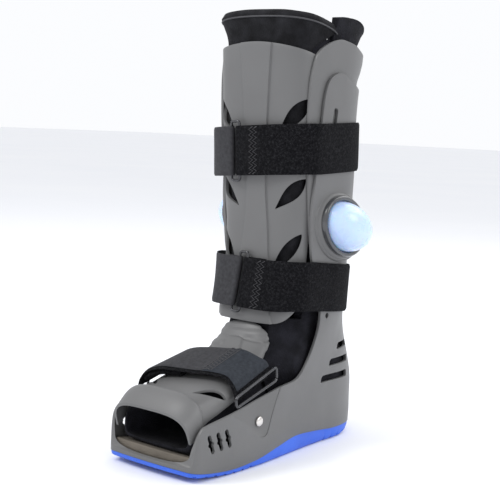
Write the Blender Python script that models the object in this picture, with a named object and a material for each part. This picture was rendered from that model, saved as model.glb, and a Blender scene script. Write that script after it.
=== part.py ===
"""Medical walking boot: rocker sole, rigid shells, padded liner, strap set and air pumps.

X runs across the boot, the toe points along -Y and Z is up. The origin lies on the ground
under the leg, where the flat of the tread touches it. Sizes are in millimetres. Heights are
drawn from the level of the shells' own plane, which lies TREAD_LEVEL below the tread, and
body() sets them on the ground.
"""
import math

import bmesh
import bpy
from mathutils import Vector

MM = 0.001

# Foot
SOLE_LENGTH = 300.0
TOE_REACH = 153.0
SOLE_WIDTH = 121.0
TOE_CORNER = 10.0
TOE_BOW = 2.5
HEEL_ROUND = 76.0
HEEL_POWER = 2.6
TREAD_INSET = 5.0
TREAD_LEVEL = 6.0
TOE_SPRING = 6.0
HEEL_LIFT = 9.0

# Leg
ANKLE_HEIGHT = 150.0
CALF_HEIGHT = 430.0
CALF_WIDTH = 135.0
SHIN_REACH = 23.5
CALF_REACH = 128.0
SHIN_POWER = 5.0
CALF_POWER = 2.3
SEAM_FADE = 40.0
BLEND_LOW = 60.0
BLEND_HIGH = 165.0

# Walls and clearances
BASE_WALL = 3.0
SHELL_WALL = 2.5
REAR_GAP = 0.5
FRONT_GAP = 0.5
LINER_WALL = 7.0
LINER_GAP = 2.2
SEAT_GAP = 0.3
INSOLE_THICKNESS = 10.0
TRAY_FLOOR = 3.0

# Heights of the free ends
UPRIGHT_HEIGHT = 399.0
REAR_SHELL_HEIGHT = 433.0
FRONT_SHELL_TOP = 427.0
FRONT_SHELL_BOTTOM = 141.0
PAD_HEIGHT = 459.0
PAD_FLARE = 7.0
LINER_HEIGHT = 456.0
LINER_FLARE = 10.0
LINER_TOE = -141.0

# Toe cover
COVER_WALL = 2.5
COVER_WIDTH = 105.0
PANEL_TOP = 141.0

# Straps
STRAP_WIDTH = 51.0
STRAP_THICKNESS = 2.6
WEBBING_THICKNESS = 1.8
STRAP_CLEARANCE = 1.1
CALF_STRAP_HEIGHT = 317.0
ANKLE_STRAP_HEIGHT = 181.0
RING_WIRE = 3.0
RING_PITCH = 11.0
RING_MARGIN = 5.0
CALF_RING_X = -22.5
ANKLE_RING_X = -8.5
FOOT_STRAP_WIDTH = 55.0
FOOT_STRAP_THICKNESS = 3.0

# Air pumps
PUMP_HEIGHT = 242.0
PUMP_DEPTH_SHARE = 0.54
PUMP_LENGTH = 78.0
PUMP_WIDTH = 60.0
PUMP_TILT = 28.0
PUMP_REACH = 66.5
BEZEL_HEIGHT = 5.0
BEZEL_RIM = 5.0
BULB_HEIGHT = 29.0

# Cut-outs
SLOT_WIDTH = 7.5
TOE_SLOT_WIDTH = 5.0
RIVET_RADIUS = 5.0
STRAP_HOLE = 6.0

SHELL_GREY = (0.27, 0.27, 0.275, 1.0)
SOLE_BLUE = (0.13, 0.26, 0.78, 1.0)
LINER_BLACK = (0.012, 0.012, 0.015, 1.0)
STRAP_BLACK = (0.014, 0.014, 0.017, 1.0)
WEBBING_GREY = (0.06, 0.06, 0.065, 1.0)
BOARD_GREY = (0.16, 0.145, 0.125, 1.0)
BULB_WHITE = (0.75, 0.83, 0.95, 1.0)
BEZEL_DARK = (0.05, 0.052, 0.056, 1.0)
STEEL = (0.62, 0.6, 0.58, 1.0)
RING_DARK = (0.03, 0.03, 0.032, 1.0)

# Half width of the foot, as a share of half the sole width, along the sole from toe to heel
PLAN = [
    {"along": 0.00, "width": 0.955},
    {"along": 0.18, "width": 1.000},
    {"along": 0.36, "width": 0.975},
    {"along": 0.52, "width": 0.900},
    {"along": 0.66, "width": 0.820},
    {"along": 0.76, "width": 0.780},
]

# Leg outline outside the base's uprights: shares of the calf width, shin and calf reach
LEG = [
    {"rise": 0.00, "width": 0.83, "front": 0.94, "back": 0.935},
    {"rise": 0.09, "width": 0.855, "front": 0.70, "back": 0.918},
    {"rise": 0.20, "width": 0.88, "front": 0.47, "back": 0.910},
    {"rise": 0.30, "width": 0.90, "front": 0.415, "back": 0.912},
    {"rise": 0.50, "width": 0.94, "front": 0.56, "back": 0.910},
    {"rise": 0.71, "width": 0.97, "front": 0.757, "back": 0.880},
    {"rise": 0.85, "width": 0.98, "front": 0.88, "back": 0.905},
    {"rise": 0.93, "width": 0.99, "front": 0.95, "back": 0.985},
    {"rise": 1.00, "width": 1.00, "front": 1.00, "back": 1.000},
    {"rise": 1.12, "width": 1.01, "front": 1.07, "back": 1.010},
]

# Seam between the grey tray and the blue sole, height along the sole
SEAM_HEIGHT = 24.5
SEAM = [
    {"along": 0.00, "rise": 0.71},
    {"along": 0.10, "rise": 0.53},
    {"along": 0.20, "rise": 0.47},
    {"along": 0.31, "rise": 0.55},
    {"along": 0.44, "rise": 0.82},
    {"along": 0.553, "rise": 1.00},
    {"along": 0.676, "rise": 0.90},
    {"along": 0.80, "rise": 0.78},
    {"along": 1.00, "rise": 0.76},
]

# Toe cover sections from the toe: crown height as a share of the panel's top end
COVER = [
    {"along": 0.00, "crown": 0.500, "width": 0.95, "side": 0.30, "power": 3.6},
    {"along": 0.155, "crown": 0.612, "width": 0.99, "side": 0.36, "power": 3.4},
    {"along": 0.175, "crown": 0.590, "width": 0.95, "side": 0.40, "power": 3.2},
    {"along": 0.35, "crown": 0.628, "width": 0.93, "side": 0.47, "power": 2.9},
    {"along": 0.56, "crown": 0.690, "width": 0.89, "side": 0.54, "power": 2.6},
    {"along": 0.78, "crown": 0.775, "width": 0.80, "side": 0.62, "power": 2.4},
    {"along": 0.89, "crown": 0.865, "width": 0.70, "side": 0.73, "power": 2.2},
    {"along": 1.00, "crown": 0.975, "width": 0.62, "side": 0.86, "power": 2.1},
]
COVER_FRONT = -155.0
COVER_BACK = -13.0


def smooth(value):
    value = max(0.0, min(1.0, value))
    return value * value * (3.0 - 2.0 * value)


def lookup(rows, column, key, value):
    """Smooth curve through one column of a table, without overshoot."""
    xs = [row[key] for row in rows]
    ys = [row[column] for row in rows]
    if value <= xs[0]:
        return ys[0]
    if value >= xs[-1]:
        return ys[-1]
    i = max(k for k in range(len(xs) - 1) if xs[k] <= value)
    steps = [(ys[k + 1] - ys[k]) / (xs[k + 1] - xs[k]) for k in range(len(xs) - 1)]

    def slope(k):
        if k == 0:
            return steps[0]
        if k == len(steps):
            return steps[-1]
        before, after = steps[k - 1], steps[k]
        return 0.0 if before * after <= 0.0 else 2.0 * before * after / (before + after)

    span = xs[i + 1] - xs[i]
    t = (value - xs[i]) / span
    rise = (3.0 - 2.0 * t) * t * t
    return (ys[i] * (1.0 - rise) + ys[i + 1] * rise
            + span * (slope(i) * t * (1.0 - t) ** 2 - slope(i + 1) * t * t * (1.0 - t)))


def along_sole(y):
    return (y + TOE_REACH) / SOLE_LENGTH


def seam(y):
    """Height of the seam between tray and sole."""
    return SEAM_HEIGHT * lookup(SEAM, "rise", "along", along_sole(y))


def tread(y):
    """Height of the sole's underside: toe spring, flat and heel bevel."""
    toe = -TOE_REACH * 0.57
    heel = (SOLE_LENGTH - TOE_REACH) * 0.72
    if y < toe:
        return TREAD_LEVEL + TOE_SPRING * ((toe - y) / (TOE_REACH + toe)) ** 1.6
    if y > heel:
        rise = ((y - heel) / (SOLE_LENGTH - TOE_REACH - heel)) ** 1.15
        return TREAD_LEVEL + HEEL_LIFT * rise
    return TREAD_LEVEL


# Stations along the foot's side, closer where they become the corner of the leg
SIDE_STEPS = (0.0, 0.10, 0.17, 0.23, 0.29, 0.38, 0.56, 0.78)


def foot_half(inset):
    """Half outline of the foot in plan, from the toe's middle to the heel's middle."""
    toe = -TOE_REACH + inset
    corner = max(TOE_CORNER - inset, TOE_CORNER * 0.3)

    def width(y):
        return lookup(PLAN, "width", "along", along_sole(y)) * SOLE_WIDTH / 2.0 - inset

    side = toe + TOE_BOW + corner
    edge = width(side)
    points = [((edge - corner) * k / 3, toe + TOE_BOW * (k / 3) ** 2) for k in range(3)]
    for k in range(3):
        turn = math.radians(90.0 * k / 3)
        points.append((edge - corner + corner * math.sin(turn), side - corner * math.cos(turn)))
    heel = SOLE_LENGTH - TOE_REACH - HEEL_ROUND
    for share in SIDE_STEPS:
        y = side + (heel - side) * share
        points.append((width(y), y))
    for k in range(8):
        turn = math.radians(90.0 * k / 7)
        x = width(heel) * max(math.cos(turn), 0.0) ** (2.0 / HEEL_POWER)
        points.append((x if k < 7 else 0.0,
                       heel + (HEEL_ROUND - inset) * math.sin(turn) ** (2.0 / HEEL_POWER)))
    return points


def leg_half(z, inset, samples=120):
    """Half outline of the leg at a height, from the shin's middle to the calf's middle."""
    rise = (z - ANKLE_HEIGHT) / (CALF_HEIGHT - ANKLE_HEIGHT)
    half = lookup(LEG, "width", "rise", rise) * CALF_WIDTH / 2.0 - inset
    front = -lookup(LEG, "front", "rise", rise) * SHIN_REACH + inset
    back = lookup(LEG, "back", "rise", rise) * CALF_REACH - inset
    middle = (front + back) / 2.0
    points = []
    for k in range(samples + 1):
        turn = math.pi * k / samples
        across, ahead = max(math.sin(turn), 0.0), math.cos(turn)
        power = 2.0 / (SHIN_POWER if ahead >= 0.0 else CALF_POWER)
        reach = middle - front if ahead >= 0.0 else middle - back
        y = middle - reach * abs(ahead) ** power
        points.append((half * across ** power if 0 < k < samples else 0.0, y))
    return points


def shares(points):
    """Distance of each point along a line, as a share of its length."""
    run = [0.0]
    for a, b in zip(points, points[1:]):
        run.append(run[-1] + math.dist(a, b))
    return [value / run[-1] for value in run]


def at_shares(points, wanted):
    """Points of a line at the given shares of its length."""
    have = shares(points)
    found, i = [], 0
    for want in wanted:
        while i < len(have) - 2 and have[i + 1] < want:
            i += 1
        t = (want - have[i]) / max(have[i + 1] - have[i], 1e-9)
        found.append(tuple(a + (b - a) * t for a, b in zip(points[i], points[i + 1])))
    return found


PLAN_SHARES = shares(foot_half(0.0))


def half_outline(z, inset):
    """Half outline of the whole boot at a height: foot below, leg above, blended between."""
    foot = foot_half(inset)
    leg = at_shares(leg_half(max(z, ANKLE_HEIGHT), inset), PLAN_SHARES)
    blend = smooth((z - BLEND_LOW) / (BLEND_HIGH - BLEND_LOW))
    return [(a[0] + (b[0] - a[0]) * blend, a[1] + (b[1] - a[1]) * blend)
            for a, b in zip(foot, leg)]


def ring_of(half):
    """Closed outline from a half outline that starts and ends in the middle plane."""
    return half + [(-x, y) for x, y in reversed(half[1:-1])]


def surface_x(y, z, inset):
    """Half width of the boot's outline at a depth and height."""
    half = half_outline(z, inset)
    best = max(half, key=lambda p: p[0])
    for a, b in zip(half, half[1:]):
        if min(a[1], b[1]) <= y <= max(a[1], b[1]) and a[1] != b[1]:
            return a[0] + (b[0] - a[0]) * (y - a[1]) / (b[1] - a[1])
    return best[0]


def material(name, colour, roughness, metallic=0.0):
    made = bpy.data.materials.new(name)
    made.use_nodes = True
    shader = made.node_tree.nodes["Principled BSDF"]
    shader.inputs["Base Color"].default_value = colour
    shader.inputs["Roughness"].default_value = roughness
    shader.inputs["Metallic"].default_value = metallic
    made.diffuse_color = colour
    return made


def body(name, points, faces, look):
    """One closed mesh object; its faces are turned outwards."""
    mesh = bpy.data.meshes.new(name)
    mesh.from_pydata([(x * MM, y * MM, (z - TREAD_LEVEL) * MM) for x, y, z in points], [], faces)
    fix = bmesh.new()
    fix.from_mesh(mesh)
    bmesh.ops.recalc_face_normals(fix, faces=fix.faces)
    if fix.calc_volume(signed=True) < 0.0:
        bmesh.ops.reverse_faces(fix, faces=fix.faces)
    fix.to_mesh(mesh)
    fix.free()
    thing = bpy.data.objects.new(name, mesh)
    bpy.context.scene.collection.objects.link(thing)
    if look:
        mesh.materials.append(material(name, *look))
    return thing


def loft(name, rows, look, closed=True, caps=True):
    """Skin over rows of points; mirrored rows are capped by rungs from side to side."""
    points = [p for row in rows for p in row]
    count = len(rows[0])
    faces = []
    for r in range(len(rows) - 1):
        for k in range(count if closed else count - 1):
            a, b = r * count + k, r * count + (k + 1) % count
            faces.append((a, b, b + count, a + count))
    if caps:
        for start in (0, (len(rows) - 1) * count):
            faces += rungs(start, count)
    return body(name, points, faces, look)


def rungs(start, count):
    """Flat faces that close a mirrored ring of points, one strip at a time."""
    half = count // 2
    faces = [(start, start + 1, start + count - 1)]
    for k in range(1, half - 1):
        faces.append((start + k, start + k + 1, start + count - k - 1, start + count - k))
    faces.append((start + half - 1, start + half, start + half + 1))
    return faces


def sheet(name, outer, inner, look):
    """Thin wall between two grids of points of the same size."""
    rows, count = len(outer), len(outer[0])
    points = [p for row in outer for p in row] + [p for row in inner for p in row]
    back = rows * count
    faces = []
    for r in range(rows - 1):
        for k in range(count - 1):
            a = r * count + k
            faces.append((a, a + 1, a + count + 1, a + count))
            faces.append((back + a + count, back + a + count + 1, back + a + 1, back + a))
    rim = [k for k in range(count)]
    rim += [r * count + count - 1 for r in range(1, rows)]
    rim += [(rows - 1) * count + k for k in range(count - 2, -1, -1)]
    rim += [r * count for r in range(rows - 2, 0, -1)]
    for a, b in zip(rim, rim[1:] + rim[:1]):
        faces.append((b, a, back + a, back + b))
    return body(name, points, faces, look)


def tool(thing):
    """Marks a cutter, which is not part of the boot."""
    thing.hide_render = True
    thing.display_type = "WIRE"
    return thing


def boolean(thing, other, operation, solver="EXACT"):
    step = thing.modifiers.new(operation.lower(), "BOOLEAN")
    step.operation = operation
    step.object = tool(other)
    step.solver = solver


def prism(name, outline, low, high, axis):
    """Straight prism over an outline; axis 0 runs along X and takes (y, z) points,
    axis 1 runs along Y and takes (x, z) points."""
    points = []
    for reach in (low, high):
        for a, b in outline:
            points.append((reach, a, b) if axis == 0 else (a, reach, b))
    count = len(outline)
    faces = [tuple(range(count)), tuple(range(2 * count - 1, count - 1, -1))]
    for k in range(count):
        after = (k + 1) % count
        faces.append((k, after, after + count, k + count))
    return body(name, points, faces, None)


def capsule(start, end, width, sides=4, notch=0.0):
    """Outline of a slot with round ends between two points; a notch widens its middle."""
    ax, ay = start
    bx, by = end
    run = math.atan2(by - ay, bx - ax)
    outline = []
    for (cx, cy), turn in (((bx, by), run - math.pi / 2), ((ax, ay), run + math.pi / 2)):
        for k in range(sides + 1):
            angle = turn + math.pi * k / sides
            outline.append((cx + width / 2 * math.cos(angle), cy + width / 2 * math.sin(angle)))
        if notch:
            side = turn + math.pi
            for share in (0.38, 0.44, 0.56, 0.62):
                out = width / 2 + (notch if 0.4 < share < 0.6 else 0.0)
                other = (ax, ay) if (cx, cy) == (bx, by) else (bx, by)
                px, py = cx + (other[0] - cx) * share, cy + (other[1] - cy) * share
                outline.append((px + out * math.cos(side), py + out * math.sin(side)))
    return outline


def lens(inner, outer, width, steps=7):
    """Outline of a leaf-shaped slot, rounder at its outer end."""
    ix, iy = inner
    ox, oy = outer
    run = math.hypot(ox - ix, oy - iy)
    nx, ny = -(oy - iy) / run, (ox - ix) / run
    upper, lower = [], []
    for k in range(steps + 1):
        t = k / steps
        wide = 0.5 + width / 2 * max(math.sin(math.pi * t ** 1.35), 0.0) ** 0.8
        px, py = ix + (ox - ix) * t, iy + (oy - iy) * t
        upper.append((px + nx * wide, py + ny * wide))
        lower.append((px - nx * wide, py - ny * wide))
    return lower + upper[::-1]


def leg_rows(heights, inset):
    return [[(x, y, z) for x, y in ring_of(half_outline(z, inset))] for z in heights]


def tray_rows(heights, inset, floor):
    """Rows that start on the seam's wavy line and even out with height."""
    rows = []
    for z in heights:
        ring = ring_of(half_outline(z, inset))
        rows.append([(x, y, z + (seam(y) + floor) * max(0.0, 1.0 - z / SEAM_FADE))
                     for x, y in ring])
    return rows


def make_outsole():
    top, edge, bottom = [], [], []
    for x, y in ring_of(foot_half(0.8)):
        top.append((x, y, seam(y) - SEAT_GAP))
    for x, y in ring_of(foot_half(1.6)):
        edge.append((x, y, tread(y) + min(3.0, (seam(y) - tread(y)) * 0.5)))
    for x, y in ring_of(foot_half(TREAD_INSET)):
        bottom.append((x, y, tread(y)))
    return loft("outsole", [top, edge, bottom], (SOLE_BLUE, 0.45))


# Free edge of the base in side view, from the toe to the top of the upright and the back:
# y as a share of the toe's or calf's reach, z as a share of the upright's height
BASE_EDGE = [
    (-1.00, 0.052), (-0.973, 0.058), (-0.957, 0.100), (-0.935, 0.132), (-0.905, 0.146),
    (-0.862, 0.151), (-0.63, 0.168), (-0.18, 0.203), (0.05, 0.213), (0.13, 0.230),
    (0.205, 0.262), (0.265, 0.300), (0.310, 0.345), (0.315, 0.379), (0.265, 0.435),
    (0.185, 0.485), (0.137, 0.522), (0.107, 0.587), (0.088, 0.662), (0.098, 0.737),
    (0.117, 0.88), (0.139, 0.946), (0.175, 0.977), (0.223, 0.991), (0.31, 1.000),
    (0.38, 0.997), (0.453, 0.985), (0.53, 0.977), (0.75, 0.955), (1.05, 0.925),
]


def share_line(rows, height):
    """Side view points in millimetres from shares of the reaches and of a height."""
    return [(y * (TOE_REACH if y < 0 else CALF_REACH), z * height) for y, z in rows]


def pump_frame():
    """Centre of the pump's seat on the right side and the way along its tilted length."""
    half = half_outline(PUMP_HEIGHT, 0.0)
    front = half[0][1]
    back = half[-1][1]
    middle = front + (back - front) * PUMP_DEPTH_SHARE
    tilt = math.radians(-PUMP_TILT)
    return middle, Vector((0.0, math.cos(tilt), math.sin(tilt)))


def oval(length, width, reach, steps, side):
    """Ring of points round the pump's axis at one distance from the middle plane."""
    middle, way = pump_frame()
    cross = Vector((0.0, -way.z, way.y))
    ring = []
    for k in range(steps):
        turn = 2.0 * math.pi * k / steps
        p = way * (math.cos(turn) * length / 2.0) + cross * (math.sin(turn) * width / 2.0)
        ring.append((side * reach, middle + p.y, PUMP_HEIGHT + p.z))
    return ring


def turned(name, rings, look):
    """Solid through closed rings with flat ends."""
    count = len(rings[0])
    points = [p for ring in rings for p in ring]
    faces = [tuple(range(count)), tuple(range((len(rings) - 1) * count, len(rings) * count))]
    for r in range(len(rings) - 1):
        for k in range(count):
            a, b = r * count + k, r * count + (k + 1) % count
            faces.append((a, b, b + count, a + count))
    return body(name, points, faces, look)


# Heights of the rows that the wall, the rear shell and the liner share
WALL_HEIGHTS = [60, 80, 102, 124, 146, 168, 200, 235, 275, 320, 360, 390]


def make_base():
    heights = [0, SEAM_FADE] + WALL_HEIGHTS + [CALF_HEIGHT * 0.96]
    base = loft("base_shell", tray_rows(heights, 0.0, 0.0), (SHELL_GREY, 0.45))
    for side in (1, -1):
        seat = PUMP_REACH - 1.0
        boss = turned("boss_tool", [
            oval(PUMP_LENGTH + 12, PUMP_WIDTH + 12, 30.0, 20, side),
            oval(PUMP_LENGTH + 8, PUMP_WIDTH + 8, seat - 4.0, 20, side),
            oval(PUMP_LENGTH + 2, PUMP_WIDTH + 2, seat, 20, side)], None)
        boolean(base, boss, "UNION")
    inner = loft("hollow_tool", tray_rows(heights[:-1] + [CALF_HEIGHT], BASE_WALL, TRAY_FLOOR),
                 None)
    boolean(base, inner, "DIFFERENCE")
    edge = share_line(BASE_EDGE, UPRIGHT_HEIGHT)
    outside = [(-TOE_REACH * 1.1, edge[0][1])] + edge
    outside += [(CALF_REACH * 1.3, edge[-1][1]), (CALF_REACH * 1.3, CALF_HEIGHT * 1.05),
                (-TOE_REACH * 1.1, CALF_HEIGHT * 1.05)]
    boolean(base, prism("edge_tool", outside, -CALF_WIDTH, CALF_WIDTH, 0), "DIFFERENCE")
    for outline in side_slots():
        boolean(base, prism("slot_tool", outline, -CALF_WIDTH, CALF_WIDTH, 0), "DIFFERENCE")
    for outline in heel_slots():
        for side in (1, -1):
            low, high = sorted((side * 22.0, side * CALF_WIDTH))
            boolean(base, prism("slot_tool", outline, low, high, 0), "DIFFERENCE", "MANIFOLD")
    return base


def side_slots():
    """Slots through both side walls: strap slot, rivet hole and three toe vents."""
    strap = capsule((0.28 * CALF_REACH, 0.902 * UPRIGHT_HEIGHT),
                    (0.245 * CALF_REACH, 0.80 * UPRIGHT_HEIGHT), SLOT_WIDTH)
    hole = capsule((0.41 * CALF_REACH, 0.369 * UPRIGHT_HEIGHT),
                   (0.41 * CALF_REACH, 0.3685 * UPRIGHT_HEIGHT), STRAP_HOLE)
    vents = []
    for k in range(3):
        y = -TOE_REACH * (0.852 - 0.076 * k)
        z = UPRIGHT_HEIGHT * (0.1215 + 0.0026 * k)
        vents.append(capsule((y, z), (y + 5.3, z - 14.0), TOE_SLOT_WIDTH, notch=1.3))
    return [strap, hole] + vents


def heel_slots():
    """Three vents on each side of the heel, the lower ones longer."""
    outlines = []
    for k in range(3):
        z = UPRIGHT_HEIGHT * (0.283 - 0.041 * k)
        front = CALF_REACH * (0.675 - 0.115 * k)
        back = CALF_REACH * (0.93 - 0.03 * k)
        outlines.append([(front + 3.0, z), (front, z - 7.5), (back, z - 7.5), (back, z)])
    return outlines


REAR_EDGE = [
    (0.22, 0.360), (0.175, 0.475), (0.129, 0.528), (0.05, 0.678), (0.012, 0.78),
    (0.000, 0.89), (0.008, 0.916), (0.035, 0.954), (0.073, 0.970), (0.148, 0.984),
    (0.236, 0.9945), (0.33, 1.000), (0.43, 0.997), (0.533, 0.9915), (0.633, 0.981),
    (0.80, 0.968), (1.1, 0.945),
]


def make_rear_shell():
    heights = WALL_HEIGHTS[5:] + [412, REAR_SHELL_HEIGHT + 6]
    outer_inset = BASE_WALL + REAR_GAP
    outer = leg_rows(heights, outer_inset)
    shell = loft("rear_shell", outer, (SHELL_GREY, 0.45))
    hollow_heights = [150] + heights[1:-1] + [REAR_SHELL_HEIGHT + 12]
    inner = loft("hollow_tool", leg_rows(hollow_heights, outer_inset + SHELL_WALL), None)
    boolean(shell, inner, "DIFFERENCE")
    edge = share_line(REAR_EDGE, REAR_SHELL_HEIGHT)
    outside = [(-60.0, edge[0][1] - 20)] + [(edge[0][0], edge[0][1] - 20)] + edge
    outside += [(CALF_REACH * 1.3, edge[-1][1]), (CALF_REACH * 1.3, CALF_HEIGHT * 1.1),
                (-60.0, CALF_HEIGHT * 1.1)]
    boolean(shell, prism("edge_tool", outside, -CALF_WIDTH, CALF_WIDTH, 0), "DIFFERENCE",
            "MANIFOLD")
    return shell


# Raised strip down the shin: its half width as a share of the calf width
STRIP = [
    {"rise": 0.00, "strip": 0.255},
    {"rise": 0.12, "strip": 0.185},
    {"rise": 0.30, "strip": 0.122},
    {"rise": 0.50, "strip": 0.092},
    {"rise": 0.72, "strip": 0.108},
    {"rise": 1.00, "strip": 0.150},
]
STRIP_RELIEF = 1.2


FRONT_WRAP = 0.335


def front_point(u, z, inset):
    """Point on the front shell; u runs from one side edge over the strip to the other."""
    rise = (z - FRONT_SHELL_BOTTOM) / (FRONT_SHELL_TOP - FRONT_SHELL_BOTTOM)
    strip = lookup(STRIP, "strip", "rise", rise) * CALF_WIDTH
    half = leg_half(z, inset)
    run = shares(half)
    edge = 0.0
    for k in range(len(half) - 1):
        if half[k][0] <= strip <= half[k + 1][0]:
            t = (strip - half[k][0]) / (half[k + 1][0] - half[k][0])
            edge = run[k] + (run[k + 1] - run[k]) * t
            break
    size = abs(u)
    share = edge * size / 0.3 if size <= 0.3 else edge + (FRONT_WRAP - edge) * (size - 0.3) / 0.7
    x, y = at_shares(half, [share])[0]
    return (math.copysign(x, u), y, z)


FRONT_COLUMNS = [-1.0, -0.9, -0.78, -0.64, -0.48, -0.33, -0.3, -0.15, 0.0,
                 0.15, 0.3, 0.33, 0.48, 0.64, 0.78, 0.9, 1.0]


def make_front_shell():
    outer_inset = BASE_WALL + REAR_GAP + SHELL_WALL + FRONT_GAP
    rows = 11
    outer, inner = [], []
    for r in range(rows):
        t = r / (rows - 1)
        line_out, line_in = [], []
        for u in FRONT_COLUMNS:
            low = FRONT_SHELL_BOTTOM + 20.0 * abs(u) ** 3
            high = FRONT_SHELL_TOP - 13.0 * abs(u) ** 2
            z = low + (high - low) * t
            relief = STRIP_RELIEF if abs(u) <= 0.3 else 0.0
            line_out.append(front_point(u, z, outer_inset - relief))
            line_in.append(front_point(u, z, outer_inset + SHELL_WALL))
        outer.append(line_out)
        inner.append(line_in)
    shell = sheet("front_shell", outer, inner, (SHELL_GREY, 0.45))
    for inner_end, outer_end, width in LENSES:
        ends = [(x * CALF_WIDTH, z * FRONT_SHELL_TOP) for x, z in (inner_end, outer_end)]
        for side in (1, -1):
            boolean(shell, corner_prism("lens_tool", lens(ends[0], ends[1], width), side),
                    "DIFFERENCE", "MANIFOLD")
    return shell


# Pointed vents round the corners of the front shell: inner end, outer end and width
LENSES = [
    ((0.115, 0.785), (0.335, 0.868), 15.0),
    ((0.120, 0.606), (0.335, 0.680), 14.0),
    ((0.105, 0.450), (0.325, 0.548), 13.0),
]
CORNER_FACING = 40.0


def corner_prism(name, outline, side):
    """Prism that points outwards between front and side; takes (across, z) points."""
    turn = math.radians(CORNER_FACING)
    points = []
    for reach in (0.0, CALF_WIDTH):
        for across, z in outline:
            x = across * math.cos(turn) + reach * math.sin(turn)
            y = across * math.sin(turn) - reach * math.cos(turn)
            points.append((side * x, y, z))
    count = len(outline)
    faces = [tuple(range(count)), tuple(range(2 * count - 1, count - 1, -1))]
    for k in range(count):
        after = (k + 1) % count
        faces.append((k, after, after + count, k + count))
    return body(name, points, faces, None)


def cover_point(u, along, inset):
    """Point on the toe cover; u runs from its left edge to its right edge."""
    crown = lookup(COVER, "crown", "along", along) * PANEL_TOP - inset
    half = lookup(COVER, "width", "along", along) * COVER_WIDTH / 2.0 - inset
    side = lookup(COVER, "side", "along", along) * PANEL_TOP
    power = lookup(COVER, "power", "along", along)
    turn = math.radians(90.0 * u)
    x = math.copysign(half * abs(math.sin(turn)) ** (2.0 / power), u)
    z = side + (crown - side) * max(math.cos(turn), 0.0) ** (2.0 / power)
    y = COVER_FRONT + (COVER_BACK - COVER_FRONT) * along
    lean = max(0.0, 1.0 - along / 0.155)
    y += lean * 9.0 * (1.0 - (z - side) / (crown - side))
    return (x, y, z)


def make_toe_cover():
    stations = [0.0, 0.08, 0.155, 0.175, 0.27, 0.40, 0.56, 0.68, 0.78, 0.86, 0.93, 1.0]
    columns = 14
    outer, inner = [], []
    for along in stations:
        us = [-1.0 + 2.0 * k / columns for k in range(columns + 1)]
        outer.append([cover_point(u, along, 0.0) for u in us])
        inner.append([cover_point(u, along, COVER_WALL) for u in us])
    return sheet("toe_cover", outer, inner, (SHELL_GREY, 0.45))


def insole_top(y):
    return seam(y) + TRAY_FLOOR + SEAT_GAP + INSOLE_THICKNESS


def make_insole():
    ring = ring_of(foot_half(BASE_WALL + LINER_GAP))
    low = [(x, y, seam(y) + TRAY_FLOOR + SEAT_GAP) for x, y in ring]
    high = [(x, y, insole_top(y)) for x, y in ring]
    return loft("insole", [low, high], (BOARD_GREY, 0.8))


# Black bootie: sections of its foot across the boot, heights as shares of the panel's top
def tunnel_row(y, inset):
    """Section of the liner's foot across the boot, a closed ring from the top's middle."""
    along = (y - COVER_FRONT) / (COVER_BACK - COVER_FRONT)
    crown = lookup(COVER, "crown", "along", max(along, 0.18)) * PANEL_TOP
    crown = min(crown, PANEL_TOP * 0.78) - COVER_WALL - LINER_GAP - inset
    hood = lookup(COVER, "crown", "along", along) * PANEL_TOP - COVER_WALL - LINER_GAP - inset
    crown = min(crown, hood)
    half = COVER_WIDTH / 2.0 * lookup(COVER, "width", "along", max(along, 0.175))
    half = min(half, COVER_WIDTH * 0.43) - COVER_WALL - LINER_GAP * 1.6 - inset
    low = insole_top(y) + SEAT_GAP + inset
    middle = low + (crown - low) * 0.30
    ring = []
    for k in range(24):
        turn = 2.0 * math.pi * k / 24
        across, up = math.sin(turn), math.cos(turn)
        power = 2.0 / (2.4 if up >= 0.0 else 5.0)
        reach = crown - middle if up >= 0.0 else middle - low
        x = math.copysign(half * abs(across) ** power, across)
        ring.append((x if k % 12 else 0.0, y, middle + math.copysign(reach * abs(up) ** power, up)))
    return ring


SOCK = [
    {"z": 0.06, "front": 20.0}, {"z": 0.13, "front": 0.0}, {"z": 0.20, "front": -20.0},
    {"z": 0.24, "front": -26.0}, {"z": 0.275, "front": -17.0}, {"z": 0.31, "front": -9.0},
    {"z": 0.34, "front": -8.0},
]


def sock_rows(heights, inset):
    """Rows of the liner's heel and leg, pulled in behind the toe cover at the front; the
    first row follows the insole."""
    rows = []
    for k, z in enumerate(heights):
        spare = BASE_WALL + LINER_GAP
        leg_inset = BASE_WALL + REAR_GAP + 2.0 * SHELL_WALL + FRONT_GAP + LINER_GAP
        blend = smooth((z - ANKLE_HEIGHT * 0.6) / (ANKLE_HEIGHT * 0.3))
        gap = spare + (leg_inset - spare) * blend
        half = half_outline(z, gap + inset)
        share = z / CALF_HEIGHT
        if share < SOCK[-1]["z"]:
            front = lookup(SOCK, "front", "z", share) + inset
            pivot = 45.0
            squeeze = (pivot - front) / (pivot - half[0][1])
            half = [(x, y if y > pivot else pivot - (pivot - y) * squeeze) for x, y in half]
            half = [(min(x, surface_x(y, z, gap + inset)
                         * (0.60 + 0.40 * smooth((y - front) / 45.0))), y) for x, y in half]
        flare = LINER_FLARE * smooth((z - CALF_HEIGHT) / (LINER_HEIGHT - CALF_HEIGHT))
        half = [(x * (1.0 + flare / CALF_WIDTH), y + flare * max(y, 0.0) / CALF_REACH)
                for x, y in half]
        low = SEAT_GAP + inset
        rows.append([(x, y, z if k else insole_top(y) + low) for x, y in ring_of(half)])
    return rows


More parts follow.
